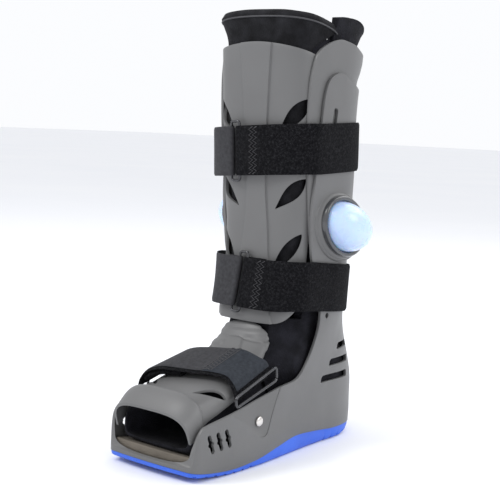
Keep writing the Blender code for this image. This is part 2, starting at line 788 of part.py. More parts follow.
def make_liner():
    heights = [SEAM_FADE] + WALL_HEIGHTS[:7] + [275, 360, CALF_HEIGHT, LINER_HEIGHT + 4.0]
    sock = loft("boot_liner", sock_rows(heights, 0.0), (LINER_BLACK, 0.9))
    stations = [LINER_TOE, -132.0, -115.0, -90.0, -60.0, -30.0, 0.0, 12.0]
    foot = turned("foot_tool", [tunnel_row(y, 0.0) for y in stations], None)
    boolean(sock, foot, "UNION")
    wall = LINER_WALL
    boolean(sock, loft("hollow_tool", sock_rows(heights[:-1] + [LINER_HEIGHT + 12], wall), None),
            "DIFFERENCE")
    inner = [LINER_TOE - 8.0] + stations[1:-1] + [26.0]
    hollow = turned("foot_hollow_tool", [tunnel_row(max(y, LINER_TOE), wall * 0.7)
                                         for y in inner], None)
    for vertex in hollow.data.vertices[:24]:
        vertex.co.y = (LINER_TOE - 8.0) * MM
    boolean(sock, hollow, "DIFFERENCE")
    outline = [(-80.0, 0.335 * CALF_HEIGHT), (0.20 * CALF_REACH, 0.335 * CALF_HEIGHT),
               (0.20 * CALF_REACH, 0.93 * CALF_HEIGHT),
               (0.40 * CALF_REACH, 0.99 * CALF_HEIGHT), (0.40 * CALF_REACH, 1.2 * CALF_HEIGHT),
               (-80.0, 1.2 * CALF_HEIGHT)]
    boolean(sock, prism("flap_tool", outline, -CALF_WIDTH, CALF_WIDTH, 0), "DIFFERENCE")
    top = share_line(LINER_TOP, LINER_HEIGHT)
    top += [(CALF_REACH * 1.3, CALF_HEIGHT * 1.3), (-80.0, CALF_HEIGHT * 1.3)]
    boolean(sock, prism("top_tool", top, -CALF_WIDTH, CALF_WIDTH, 0), "DIFFERENCE")
    return sock


LINER_TOP = [(-0.5, 0.97), (0.10, 0.975), (0.20, 0.992), (0.40, 1.0), (0.60, 0.995),
             (0.80, 0.975), (1.2, 0.93)]


# How far round the leg the pad reaches from the shin's middle, as shares of the half outline
PAD_WRAP = 0.30
PAD_TOP_WRAP = 0.42


def make_front_pad():
    outer_inset = BASE_WALL + REAR_GAP + 2.0 * SHELL_WALL + FRONT_GAP + LINER_GAP
    rows = 9
    outer, inner = [], []
    low = 0.345 * CALF_HEIGHT
    for r in range(rows):
        t = r / (rows - 1)
        line_out, line_in = [], []
        for k in range(15):
            u = -1.0 + 2.0 * k / 14
            high = PAD_HEIGHT - (14.0 if u > 0.0 else 24.0) * abs(u) ** 2.4
            z = low + (high - low) * t
            wrap = PAD_WRAP + (PAD_TOP_WRAP - PAD_WRAP) * smooth((z - 0.92 * CALF_HEIGHT) / 45.0)
            share = wrap * abs(u)
            flare = PAD_FLARE * smooth((z - FRONT_SHELL_TOP) / (PAD_HEIGHT - FRONT_SHELL_TOP))
            x, y = at_shares(leg_half(z, outer_inset - flare), [share])[0]
            line_out.append((math.copysign(x, u), y, z))
            x, y = at_shares(leg_half(z, outer_inset + LINER_WALL - flare), [share])[0]
            line_in.append((math.copysign(x, u), y, z))
        outer.append(line_out)
        inner.append(line_in)
    return sheet("front_pad", outer, inner, (LINER_BLACK, 0.9))


def belt(z):
    """Line that a strap follows round the shells at a height, from the back's middle round
    the left side, the front and the right side to the back's middle again."""
    deep = BASE_WALL + REAR_GAP + SHELL_WALL + FRONT_GAP - STRIP_RELIEF
    near = half_outline(z, 0.0)
    far = at_shares(leg_half(z, deep), PLAN_SHARES)
    half = []
    for a, b in zip(near, far):
        blend = smooth((a[1] + 12.0) / 24.0)
        half.append((b[0] + (a[0] - b[0]) * blend, b[1] + (a[1] - b[1]) * blend))
    return [(-x, y) for x, y in reversed(half)] + half[1:]


def belt_points(z, route):
    """Points of a route given as (distance along from the front's middle, height above)."""
    line = belt(z)
    middle = len(line) // 2
    run = [0.0]
    for a, b in zip(line, line[1:]):
        run.append(run[-1] + math.dist(a, b))
    zero = run[middle]
    points = []
    for along, above in route:
        want = min(max(along + zero, 0.0), run[-1])
        i = max(k for k in range(len(run) - 1) if run[k] <= want)
        t = (want - run[i]) / (run[i + 1] - run[i])
        a, b = Vector(line[i]), Vector(line[i + 1])
        way = (b - a).normalized()
        before = Vector(line[max(i - 2, 0)])
        after = Vector(line[min(i + 3, len(line) - 1)])
        way = (after - before).normalized()
        out = Vector((way.y, -way.x))
        p = a.lerp(b, t) + out * above
        points.append(p)
    return points


def thicken(points, thickness):
    """Left and right edges of a strip in plan."""
    left, right = [], []
    for k, p in enumerate(points):
        way = (points[min(k + 1, len(points) - 1)] - points[max(k - 1, 0)]).normalized()
        out = Vector((way.y, -way.x)) * (thickness / 2.0)
        left.append(p + out)
        right.append(p - out)
    return left, right


def strap_height(points, centre, lean, drop):
    return [centre + lean * p.x + drop * max(p.y - 15.0, 0.0) for p in points]


def make_band(name, route, thickness, centre, lean, drop, look):
    """Strap swept along a route round the leg."""
    rails = []
    for side in (-1.0, 1.0):
        line = belt_points(centre + side * STRAP_WIDTH / 2.0, route)
        heights = strap_height(line, centre, lean, drop)
        left, right = thicken(line, thickness)
        for edge in (left, right):
            rails.append([(p.x, p.y, z + side * STRAP_WIDTH / 2.0)
                          for p, z in zip(edge, heights)])
    rows = [[rails[0][k], rails[1][k], rails[3][k], rails[2][k]] for k in range(len(rails[0]))]
    count = 4
    points = [p for row in rows for p in row]
    faces = [(0, 1, 2, 3), tuple(len(points) - 4 + k for k in range(4))]
    for r in range(len(rows) - 1):
        for k in range(count):
            a, b = r * count + k, r * count + (k + 1) % count
            faces.append((a, b, b + count, a + count))
    return body(name, points, faces, look)


def fold(bar, radius, way, tail, low):
    """Route of a webbing end that wraps round a ring's bar; way is +1 to leave to the right."""
    route = [(bar + way * (tail * (1.0 - k / 3)), low) for k in range(3)]
    for k in range(7):
        turn = math.pi * k / 6
        route.append((bar - way * radius * math.sin(turn), low + radius - radius * math.cos(turn)))
    return route


def make_leg_strap(name, centre, ring_x, lean, drop):
    """One strap round the leg, its anchor webbing and the ring between them."""
    wire = RING_WIRE / 2.0
    radius = wire + SEAT_GAP + STRAP_THICKNESS / 2.0
    low = STRAP_CLEARANCE + STRAP_THICKNESS / 2.0
    route = fold(ring_x + RING_PITCH / 2.0, radius, 1.0, 22.0, low)
    start = ring_x + RING_PITCH / 2.0
    end = 175.0
    top = low + 2.0 * radius
    over = STRAP_CLEARANCE * 2.0 + STRAP_THICKNESS * 1.5
    for k in range(1, 25):
        along = start + (end - start) * k / 24
        settle = smooth((along - start - 22.0) / 45.0)
        route.append((along, max(top, over) + (low - top) * settle))
    make_band(name, route, STRAP_THICKNESS, centre, lean, drop, (STRAP_BLACK, 0.95))

    radius = wire + SEAT_GAP + WEBBING_THICKNESS / 2.0
    low = STRAP_CLEARANCE + STRAP_THICKNESS - WEBBING_THICKNESS / 2.0
    bar = ring_x - RING_PITCH / 2.0
    route = fold(bar, radius, -1.0, 16.0, low)
    end = -128.0
    for k in range(1, 17):
        along = bar + (end - bar) * k / 16
        settle = smooth((bar - 20.0 - along) / 30.0)
        route.append((along, low + 2.0 * radius - 2.0 * radius * settle))
    make_band(name + "_anchor", route, WEBBING_THICKNESS, centre, lean, drop,
              (WEBBING_GREY, 0.8))
    make_ring(name + "_ring", centre, ring_x, lean)


def make_ring(name, centre, ring_x, lean):
    """Rectangular wire ring that stands on the front shell between strap and webbing."""
    above = STRAP_CLEARANCE + STRAP_THICKNESS + SEAT_GAP + RING_WIRE / 2.0
    bars = []
    for along in (-1, 1):
        ends = []
        for side in (-1, 1):
            z = centre + side * STRAP_WIDTH / 2.0
            p = belt_points(z, [(ring_x + along * RING_PITCH / 2.0, above)])[0]
            ends.append(Vector((p.x, p.y, z + lean * p.x)))
        spare = (ends[1] - ends[0]).normalized() * RING_MARGIN
        bars.append((ends[0] - spare, ends[1] + spare))
    corners = [bars[0][0], bars[1][0], bars[1][1], bars[0][1]]
    wire_loop(name, corners, RING_WIRE / 2.0, 2.0)


def wire_loop(name, corners, radius, bend):
    """Closed wire through corners with rounded bends."""
    curve = bpy.data.curves.new(name, "CURVE")
    curve.dimensions = "3D"
    points = []
    for k, corner in enumerate(corners):
        before = (corners[k - 1] - corner).normalized()
        after = (corners[(k + 1) % len(corners)] - corner).normalized()
        points += [corner + before * bend, corner + (before + after) * bend * 0.3,
                   corner + after * bend]
    spline = curve.splines.new("POLY")
    spline.points.add(len(points) - 1)
    for point, place in zip(spline.points, points):
        place = place - Vector((0.0, 0.0, TREAD_LEVEL))
        point.co = (*(place * MM), 1.0)
    spline.use_cyclic_u = True
    curve.bevel_depth = radius * MM
    curve.bevel_resolution = 1
    curve.materials.append(material(name, RING_DARK, 0.3, 0.6))
    thing = bpy.data.objects.new(name, curve)
    bpy.context.scene.collection.objects.link(thing)
    return thing


# Foot strap from its left end over the instep to its right end: middle of its underside, x
# as a share of the cover's width, y of the toe's reach, and its lift off the toe cover
FOOT_STRAP = [
    {"x": -0.490, "y": -0.585, "lift": 1.0},
    {"x": -0.478, "y": -0.580, "lift": 8.0},
    {"x": -0.420, "y": -0.565, "lift": 12.0},
    {"x": -0.300, "y": -0.540, "lift": 10.0},
    {"x": -0.130, "y": -0.510, "lift": 7.5},
    {"x": 0.050, "y": -0.475, "lift": 6.0},
    {"x": 0.230, "y": -0.440, "lift": 6.5},
    {"x": 0.370, "y": -0.410, "lift": 7.5},
    {"x": 0.460, "y": -0.405, "lift": 4.0},
    {"x": 0.500, "y": -0.405, "lift": -8.0},
]


def cover_height(x, y):
    """Height of the toe cover's outside above a point in plan."""
    along = (y - COVER_FRONT) / (COVER_BACK - COVER_FRONT)
    crown = lookup(COVER, "crown", "along", along) * PANEL_TOP
    side = lookup(COVER, "side", "along", along) * PANEL_TOP
    half = lookup(COVER, "width", "along", along) * COVER_WIDTH / 2.0
    power = lookup(COVER, "power", "along", along)
    out = min(abs(x) / half, 0.95)
    return side + (crown - side) * (1.0 - out ** power) ** (1.0 / power)


def make_foot_strap():
    reach = FOOT_STRAP_WIDTH * 0.475
    edges = []
    for r in FOOT_STRAP:
        x, y = r["x"] * COVER_WIDTH, r["y"] * TOE_REACH
        edges.append([Vector((x, y + side * reach, cover_height(x, y + side * reach) + r["lift"]))
                      for side in (-1.0, 1.0)])
    rows = []
    for k, (front, rear) in enumerate(edges):
        before = edges[max(k - 1, 0)]
        after = edges[min(k + 1, len(edges) - 1)]
        way = after[0] + after[1] - before[0] - before[1]
        out = way.cross(rear - front).normalized() * FOOT_STRAP_THICKNESS
        rows.append([tuple(front), tuple(rear), tuple(rear + out), tuple(front + out)])
    points = [p for row in rows for p in row]
    faces = [(0, 1, 2, 3), tuple(len(points) - 4 + k for k in range(4))]
    for r in range(len(rows) - 1):
        for k in range(4):
            a, b = r * 4 + k, r * 4 + (k + 1) % 4
            faces.append((a, b, b + 4, a + 4))
    return body("foot_strap", points, faces, (WEBBING_GREY, 0.85))


# Wire loop beside each end of the foot strap: corners as shares of the cover's width, the
# toe's reach and the panel's top
FOOT_RING = [
    {"x": 0.562, "y": -0.615, "z": 0.575}, {"x": 0.550, "y": -0.210, "z": 0.735},
    {"x": 0.560, "y": -0.210, "z": 0.640}, {"x": 0.572, "y": -0.615, "z": 0.507},
]


def make_foot_rings():
    for side, word in ((1, "right"), (-1, "left")):
        corners = [Vector((side * r["x"] * COVER_WIDTH, r["y"] * TOE_REACH, r["z"] * PANEL_TOP))
                   for r in FOOT_RING]
        wire_loop("foot_ring_" + word, corners, RING_WIRE / 2.0, 2.5)


def make_pumps():
    for side, word in ((1, "right"), (-1, "left")):
        seat = PUMP_REACH - 1.0 + SEAT_GAP
        length, width = PUMP_LENGTH, PUMP_WIDTH
        steps = 24
        rim = 2.0 * BEZEL_RIM
        rings = [oval(length, width, seat, steps, side),
                 oval(length - 1.5, width - 1.5, seat + BEZEL_HEIGHT, steps, side),
                 oval(length - rim, width - rim, seat + BEZEL_HEIGHT - 1.0, steps, side),
                 oval(length - rim, width - rim, seat, steps, side)]
        points = [p for ring in rings for p in ring]
        faces = []
        for r in range(4):
            for k in range(steps):
                a, b = r * steps + k, r * steps + (k + 1) % steps
                c, d = ((r + 1) % 4) * steps + (k + 1) % steps, ((r + 1) % 4) * steps + k
                faces.append((a, b, c, d))
        body("pump_bezel_" + word, points, faces, (BEZEL_DARK, 0.25))
        inner_length, inner_width = length - rim - 0.8, width - rim - 0.8
        domes = []
        for k in range(5):
            turn = math.radians(90.0 * k / 5)
            domes.append(oval(inner_length * math.cos(turn) ** 0.8,
                              inner_width * math.cos(turn) ** 0.8,
                              seat + BULB_HEIGHT * math.sin(turn), steps, side))
        turned("pump_bulb_" + word, domes, (BULB_WHITE, 0.35))


def make_rivets():
    for side, word in ((1, "right"), (-1, "left")):
        y, z = -0.379 * TOE_REACH, 0.1315 * UPRIGHT_HEIGHT
        seat = surface_x(y, z, 0.0) + SEAT_GAP
        rings = []
        for reach, size in ((0.0, 1.0), (0.8, 1.0), (1.8, 0.8), (2.4, 0.35)):
            rings.append([(side * (seat + reach),
                           y + RIVET_RADIUS * size * math.cos(2 * math.pi * k / 12),
                           z + RIVET_RADIUS * size * math.sin(2 * math.pi * k / 12))
                          for k in range(12)])
        turned("side_rivet_" + word, rings, (STEEL, 0.25, 1.0))


def main():
    for thing in list(bpy.data.objects):
        bpy.data.objects.remove(thing)
    make_outsole()
    make_base()
    make_rear_shell()
    make_front_shell()
    make_toe_cover()
    make_insole()
    make_liner()
    make_front_pad()
    make_leg_strap("calf_strap", CALF_STRAP_HEIGHT, CALF_RING_X, 0.07, 0.055)
    make_leg_strap("ankle_strap", ANKLE_STRAP_HEIGHT, ANKLE_RING_X, 0.0, -0.10)
    make_foot_strap()
    make_foot_rings()
    make_pumps()
    make_rivets()


main()
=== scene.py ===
"""Looks of the medical walking boot: fine shells, padding, straps and air bulbs on the frame.

Lengths are in millimetres until solid() turns them into metres. Heights are drawn from the
shells' own plane, LEVEL below the ground, as in the solids.
"""
import math

import bmesh
import bpy
from mathutils import Matrix, Vector, noise


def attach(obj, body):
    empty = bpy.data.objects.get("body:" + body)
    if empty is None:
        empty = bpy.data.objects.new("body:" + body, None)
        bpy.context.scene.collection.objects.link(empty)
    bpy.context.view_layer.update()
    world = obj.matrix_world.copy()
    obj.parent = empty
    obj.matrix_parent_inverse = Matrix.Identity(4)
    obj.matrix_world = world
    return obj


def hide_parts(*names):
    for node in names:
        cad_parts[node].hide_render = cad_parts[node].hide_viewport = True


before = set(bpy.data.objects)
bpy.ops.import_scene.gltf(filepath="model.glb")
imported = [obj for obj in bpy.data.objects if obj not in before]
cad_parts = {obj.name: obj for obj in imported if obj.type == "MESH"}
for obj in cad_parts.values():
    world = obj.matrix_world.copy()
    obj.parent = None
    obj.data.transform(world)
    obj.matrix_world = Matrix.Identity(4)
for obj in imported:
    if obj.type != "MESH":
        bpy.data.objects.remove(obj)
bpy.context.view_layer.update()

MM = 0.001
LEVEL = 6.0

# Sizes of the solids
SOLE_LENGTH, TOE_REACH, SOLE_WIDTH = 300.0, 153.0, 121.0
TOE_CORNER, TOE_BOW, HEEL_ROUND, HEEL_POWER = 10.0, 2.5, 76.0, 2.6
TOE_SPRING, HEEL_LIFT, TREAD_INSET = 6.0, 9.0, 5.0
ANKLE_HEIGHT, CALF_HEIGHT, CALF_WIDTH = 150.0, 430.0, 135.0
SHIN_REACH, CALF_REACH, SHIN_POWER, CALF_POWER = 23.5, 128.0, 5.0, 2.3
SEAM_FADE, BLEND_LOW, BLEND_HIGH, SEAM_HEIGHT = 40.0, 60.0, 165.0, 24.5
BASE_WALL, SHELL_WALL, GAP, LINER_GAP, LINER_WALL = 3.0, 2.5, 0.5, 2.2, 7.0
TRAY_FLOOR, SEAT_GAP, INSOLE_THICKNESS = 3.0, 0.3, 10.0
UPRIGHT_HEIGHT, REAR_HEIGHT, FRONT_TOP, FRONT_BOTTOM = 399.0, 433.0, 427.0, 141.0
PAD_HEIGHT, PAD_FLARE, LINER_HEIGHT, LINER_FLARE, LINER_TOE = 459.0, 7.0, 456.0, 14.0, -141.0
COVER_WIDTH, COVER_FRONT, COVER_BACK, COVER_WALL, PANEL_TOP = 105.0, -155.0, -13.0, 2.5, 141.0
STRAP_WIDTH, STRAP_THICKNESS, WEBBING, STRAP_CLEARANCE = 51.0, 2.6, 1.8, 1.1
RING_WIRE, RING_PITCH, RING_MARGIN = 3.0, 11.0, 5.0
PUMP_HEIGHT, PUMP_SHARE, PUMP_LENGTH, PUMP_WIDTH = 242.0, 0.54, 78.0, 60.0
PUMP_TILT, PUMP_REACH, BEZEL_RIM, BULB_HEIGHT = 28.0, 66.5, 5.0, 29.0

# Sizes of the detail that only the scene has, and of a few places in the solids
FOOT_STRAP_WIDTH, STRAP_END, ANCHOR_END = 55.0, 175.0, -128.0
FRONT_WRAP, STRIP_SHARE, STRIP_RELIEF, LENS_FACING = 0.335, 0.3, 1.9, 40.0
SLOT_WIDTH, STRAP_HOLE, TOE_SLOT_WIDTH, RIVET_RADIUS, RECESS_DEPTH = 7.5, 6.0, 5.0, 5.0, 0.5
SOCK_PIVOT, LINER_FOOT_GAP, SOLID_STRIP_RELIEF = 45.0, 1.8, 1.2
SIDES = ((1, "right"), (-1, "left"))

# Leg straps: name, height, the ring's place across, lean across and drop to the back
LEG_STRAPS = [("calf_strap", 317.0, -22.5, 0.07, 0.055), ("ankle_strap", 181.0, -8.5, 0.0, -0.10)]

# Camera: place and axes in metres, sensor and lens in millimetres
CAMERA_PLACE = (0.76281, -0.93087, 0.33369)
CAMERA_AXES = ((0.765579, 0.641759, 0.045114), (-0.101603, 0.051365, 0.993498),
               (0.635269, -0.765185, 0.104528))
CAMERA_SENSOR, CAMERA_LENS = 36.0, 83.54

# Lights: name, place, size and power
LIGHTS = [("key", (-0.9, -1.5, 1.9), 1.0, 30.0), ("side", (1.9, 0.3, 1.3), 1.2, 14.0),
          ("back", (0.3, 1.5, 1.8), 1.6, 14.0)]

# Half widths, reaches and heights by share of length or height, as in the solids
PLAN = [(0.00, 0.955), (0.18, 1.000), (0.36, 0.975), (0.52, 0.900), (0.66, 0.820), (0.76, 0.780)]
LEG_WIDTH = [(0.00, 0.83), (0.09, 0.855), (0.20, 0.88), (0.30, 0.90), (0.50, 0.94), (0.71, 0.97),
             (0.85, 0.98), (0.93, 0.99), (1.00, 1.00), (1.12, 1.01)]
LEG_FRONT = [(0.00, 0.94), (0.09, 0.70), (0.20, 0.47), (0.30, 0.415), (0.50, 0.56), (0.71, 0.757),
             (0.85, 0.88), (0.93, 0.95), (1.00, 1.00), (1.12, 1.07)]
LEG_BACK = [(0.00, 0.935), (0.09, 0.918), (0.20, 0.910), (0.30, 0.912), (0.50, 0.910),
            (0.71, 0.880), (0.85, 0.905), (0.93, 0.985), (1.00, 1.000), (1.12, 1.010)]
SEAM = [(0.00, 0.71), (0.10, 0.53), (0.20, 0.47), (0.31, 0.55), (0.44, 0.82), (0.553, 1.00),
        (0.676, 0.90), (0.80, 0.78), (1.00, 0.76)]
CROWN = [(0.00, 0.500), (0.155, 0.612), (0.175, 0.590), (0.35, 0.628), (0.56, 0.690),
         (0.78, 0.775), (0.89, 0.865), (1.00, 0.975)]
COVER_HALF = [(0.00, 0.95), (0.155, 0.99), (0.175, 0.95), (0.35, 0.93), (0.56, 0.89),
              (0.78, 0.80), (0.89, 0.70), (1.00, 0.62)]
COVER_SIDE = [(0.00, 0.30), (0.155, 0.36), (0.175, 0.40), (0.35, 0.47), (0.56, 0.54),
              (0.78, 0.62), (0.89, 0.73), (1.00, 0.86)]
COVER_POWER = [(0.00, 3.6), (0.155, 3.4), (0.175, 3.2), (0.35, 2.9), (0.56, 2.6), (0.78, 2.4),
               (0.89, 2.2), (1.00, 2.1)]
BASE_EDGE = [
    (-1.00, 0.052), (-0.973, 0.058), (-0.957, 0.100), (-0.935, 0.132), (-0.905, 0.146),
    (-0.862, 0.151), (-0.63, 0.168), (-0.18, 0.203), (0.05, 0.213), (0.13, 0.230),
    (0.205, 0.262), (0.265, 0.300), (0.310, 0.345), (0.315, 0.379), (0.265, 0.435),
    (0.185, 0.485), (0.137, 0.522), (0.107, 0.587), (0.088, 0.662), (0.098, 0.737),
    (0.117, 0.88), (0.139, 0.946), (0.175, 0.977), (0.223, 0.991), (0.31, 1.000),
    (0.38, 0.997), (0.453, 0.985), (0.53, 0.977), (0.75, 0.955), (1.05, 0.925)]
REAR_EDGE = [
    (0.22, 0.360), (0.175, 0.475), (0.129, 0.528), (0.05, 0.678), (0.012, 0.78),
    (0.000, 0.89), (0.008, 0.916), (0.035, 0.954), (0.073, 0.970), (0.148, 0.984),
    (0.236, 0.9945), (0.33, 1.000), (0.43, 0.997), (0.533, 0.9915), (0.633, 0.981),
    (0.80, 0.968), (1.1, 0.945)]
STRIP = [(0.00, 0.255), (0.12, 0.185), (0.30, 0.122), (0.50, 0.092), (0.72, 0.108), (1.00, 0.150)]
LENSES = [((0.115, 0.785), (0.335, 0.868), 15.0), ((0.120, 0.606), (0.335, 0.680), 14.0),
          ((0.105, 0.450), (0.325, 0.548), 13.0)]
SOCK = [(0.06, 20.0), (0.13, 0.0), (0.20, -20.0), (0.24, -26.0), (0.275, -17.0), (0.31, -9.0),
        (0.34, -8.0)]


def smooth(value):
    value = max(0.0, min(1.0, value))
    return value * value * (3.0 - 2.0 * value)


def lookup(rows, value):
    """Smooth curve through the rows, without overshoot."""
    if value <= rows[0][0]:
        return rows[0][1]
    if value >= rows[-1][0]:
        return rows[-1][1]
    i = max(k for k in range(len(rows) - 1) if rows[k][0] <= value)
    steps = [(b[1] - a[1]) / (b[0] - a[0]) for a, b in zip(rows, rows[1:])]

    def slope(k):
        if k == 0:
            return steps[0]
        if k == len(steps):
            return steps[-1]
        a, b = steps[k - 1], steps[k]
        return 0.0 if a * b <= 0.0 else 2.0 * a * b / (a + b)

    span = rows[i + 1][0] - rows[i][0]
    t = (value - rows[i][0]) / span
    rise = (3.0 - 2.0 * t) * t * t
    return (rows[i][1] * (1.0 - rise) + rows[i + 1][1] * rise
            + span * (slope(i) * t * (1.0 - t) ** 2 - slope(i + 1) * t * t * (1.0 - t)))


def seam(y):
    return SEAM_HEIGHT * lookup(SEAM, (y + TOE_REACH) / SOLE_LENGTH)


def tread(y):
    toe = -TOE_REACH * 0.57
    heel = (SOLE_LENGTH - TOE_REACH) * 0.72
    if y < toe:
        return LEVEL + TOE_SPRING * ((toe - y) / (TOE_REACH + toe)) ** 1.6
    if y > heel:
        return LEVEL + HEEL_LIFT * ((y - heel) / (SOLE_LENGTH - TOE_REACH - heel)) ** 1.15
    return LEVEL


# Points along the foot's side and round its heel
SIDE = 46
ROUND = 26


def foot_half(inset):
    toe = -TOE_REACH + inset
    corner = max(TOE_CORNER - inset, TOE_CORNER * 0.3)

    def width(y):
        return lookup(PLAN, (y + TOE_REACH) / SOLE_LENGTH) * SOLE_WIDTH / 2.0 - inset

    side = toe + TOE_BOW + corner
    edge = width(side)
    points = [((edge - corner) * k / 8, toe + TOE_BOW * (k / 8) ** 2) for k in range(8)]
    for k in range(7):
        turn = math.radians(90.0 * k / 7)
        points.append((edge - corner + corner * math.sin(turn), side - corner * math.cos(turn)))
    heel = SOLE_LENGTH - TOE_REACH - HEEL_ROUND
    for k in range(SIDE):
        y = side + (heel - side) * k / SIDE
        points.append((width(y), y))
    for k in range(ROUND + 1):
        turn = math.radians(90.0 * k / ROUND)
        x = width(heel) * max(math.cos(turn), 0.0) ** (2.0 / HEEL_POWER)
        points.append((x if k < ROUND else 0.0,
                       heel + (HEEL_ROUND - inset) * math.sin(turn) ** (2.0 / HEEL_POWER)))
    return points


def leg_half(z, inset, samples=160):
    rise = (z - ANKLE_HEIGHT) / (CALF_HEIGHT - ANKLE_HEIGHT)
    half = lookup(LEG_WIDTH, rise) * CALF_WIDTH / 2.0 - inset
    front = -lookup(LEG_FRONT, rise) * SHIN_REACH + inset
    back = lookup(LEG_BACK, rise) * CALF_REACH - inset
    middle = (front + back) / 2.0
    points = []
    for k in range(samples + 1):
        turn = math.pi * k / samples
        across, ahead = max(math.sin(turn), 0.0), math.cos(turn)
        power = 2.0 / (SHIN_POWER if ahead >= 0.0 else CALF_POWER)
        reach = middle - front if ahead >= 0.0 else middle - back
        points.append((half * across ** power if 0 < k < samples else 0.0,
                       middle - reach * abs(ahead) ** power))
    return points


def distances(points):
    """Distance of each point along a line."""
    run = [0.0]
    for a, b in zip(points, points[1:]):
        run.append(run[-1] + math.dist(a, b))
    return run


def shares(points):
    """Distance of each point along a line, as a share of its length."""
    run = distances(points)
    return [value / run[-1] for value in run]


def segment(run, want):
    """Index of the step that holds a distance, and how far along the step it is."""
    low, high = 0, len(run) - 1
    while high - low > 1:
        middle = (low + high) // 2
        low, high = (middle, high) if run[middle] <= want else (low, middle)
    return low, (want - run[low]) / max(run[low + 1] - run[low], 1e-9)


def at_shares(points, wanted):
    have = shares(points)
    found, i = [], 0
    for want in wanted:
        while i < len(have) - 2 and have[i + 1] < want:
            i += 1
        t = (want - have[i]) / max(have[i + 1] - have[i], 1e-9)
        found.append(tuple(a + (b - a) * t for a, b in zip(points[i], points[i + 1])))
    return found


PLAN_SHARES = shares(foot_half(0.0))
outlines = {}


def half_outline(z, inset):
    key = (round(z, 3), round(inset, 3))
    if key not in outlines:
        foot = foot_half(inset)
        blend = smooth((z - BLEND_LOW) / (BLEND_HIGH - BLEND_LOW))
        if blend == 0.0:
            outlines[key] = foot
        else:
            leg = at_shares(leg_half(max(z, ANKLE_HEIGHT), inset), PLAN_SHARES)
            outlines[key] = [(a[0] + (b[0] - a[0]) * blend, a[1] + (b[1] - a[1]) * blend)
                             for a, b in zip(foot, leg)]
    return outlines[key]


def ring_of(half):
    return half + [(-x, y) for x, y in reversed(half[1:-1])]


def surface_x(y, z, inset):
    half = half_outline(z, inset)
    for a, b in zip(half, half[1:]):
        if min(a[1], b[1]) <= y <= max(a[1], b[1]) and a[1] != b[1]:
            return a[0] + (b[0] - a[0]) * (y - a[1]) / (b[1] - a[1])
    return max(p[0] for p in half)


def flow(points, steps=7):
    """Dense smooth line through points."""
    line = []
    for i in range(len(points) - 1):
        p = [Vector(points[max(0, min(len(points) - 1, i + d))]) for d in (-1, 0, 1, 2)]
        span = [max((b - a).length, 1e-6) ** 0.5 for a, b in zip(p, p[1:])]
        m1 = (p[2] - p[1]) + ((p[1] - p[0]) / span[0]
                              - (p[2] - p[0]) / (span[0] + span[1])) * span[1]
        m2 = (p[2] - p[1]) + ((p[3] - p[2]) / span[2]
                              - (p[3] - p[1]) / (span[1] + span[2])) * span[1]
        if i == 0:
            m1 = p[2] - p[1]
        if i == len(points) - 2:
            m2 = p[2] - p[1]
        for k in range(steps):
            t = k / steps
            line.append(p[1] * (2 * t ** 3 - 3 * t ** 2 + 1) + m1 * (t ** 3 - 2 * t ** 2 + t)
                        + p[2] * (3 * t ** 2 - 2 * t ** 3) + m2 * (t ** 3 - t ** 2))
    line.append(Vector(points[-1]))
    return [tuple(p) for p in line]


# Meshes

def solid(name, points, faces):
    """Closed mesh object from points in millimetres."""
    mesh = bpy.data.meshes.new(name)
    mesh.from_pydata([(x * MM, y * MM, (z - LEVEL) * MM) for x, y, z in points], [], faces)
    fix = bmesh.new()
    fix.from_mesh(mesh)
    bmesh.ops.recalc_face_normals(fix, faces=fix.faces)
    if fix.calc_volume(signed=True) < 0.0:
        bmesh.ops.reverse_faces(fix, faces=fix.faces)
    fix.to_mesh(mesh)
    fix.free()
    thing = bpy.data.objects.new(name, mesh)
    bpy.context.scene.collection.objects.link(thing)
    return thing


def loft(name, rows):
    """Skin over mirrored closed rows, capped by rungs from side to side."""
    count = len(rows[0])
    half = count // 2
    faces = []
    for r in range(len(rows) - 1):
        for k in range(count):
            a, b = r * count + k, r * count + (k + 1) % count
            faces.append((a, b, b + count, a + count))
    for start in (0, (len(rows) - 1) * count):
        faces.append((start, start + 1, start + count - 1))
        for k in range(1, half - 1):
            faces.append((start + k, start + k + 1, start + count - k - 1, start + count - k))
        faces.append((start + half - 1, start + half, start + half + 1))
    return solid(name, [p for row in rows for p in row], faces)


def turned(name, rings, tube=False):
    """Solid through closed rings; a tube closes on itself instead of having flat ends."""
    count, total = len(rings[0]), len(rings)
    faces = []
    for r in range(total if tube else total - 1):
        for k in range(count):
            a, b = r * count + k, r * count + (k + 1) % count
            c, d = ((r + 1) % total) * count + (k + 1) % count, ((r + 1) % total) * count + k
            faces.append((a, b, c, d))
    if not tube:
        faces += [tuple(range(count)), tuple(range((total - 1) * count, total * count))]
    return solid(name, [p for ring in rings for p in ring], faces)


def wall(name, outer, inner):
    """Thin wall between two grids of points."""
    rows, count = len(outer), len(outer[0])
    back = rows * count
    faces = []
    for r in range(rows - 1):
        for k in range(count - 1):
            a = r * count + k
            faces.append((a, a + 1, a + count + 1, a + count))
            faces.append((back + a + count, back + a + count + 1, back + a + 1, back + a))
    rim = list(range(count)) + [r * count + count - 1 for r in range(1, rows)]
    rim += [(rows - 1) * count + k for k in range(count - 2, -1, -1)]
    rim += [r * count for r in range(rows - 2, 0, -1)]
    for a, b in zip(rim, rim[1:] + rim[:1]):
        faces.append((b, a, back + a, back + b))
    points = [p for row in outer for p in row] + [p for row in inner for p in row]
    return solid(name, points, faces)


def prism(outline, low=-CALF_WIDTH, high=CALF_WIDTH):
    """Cutter along X over (y, z) points."""
    points = [(reach, y, z) for reach in (low, high) for y, z in outline]
    return capped(points, len(outline))


def capped(points, count):
    """Cutter between two outlines of the same number of points."""
    faces = [tuple(range(count)), tuple(range(2 * count - 1, count - 1, -1))]
    for k in range(count):
        after = (k + 1) % count
        faces.append((k, after, after + count, k + count))
    return solid("tool", points, faces)


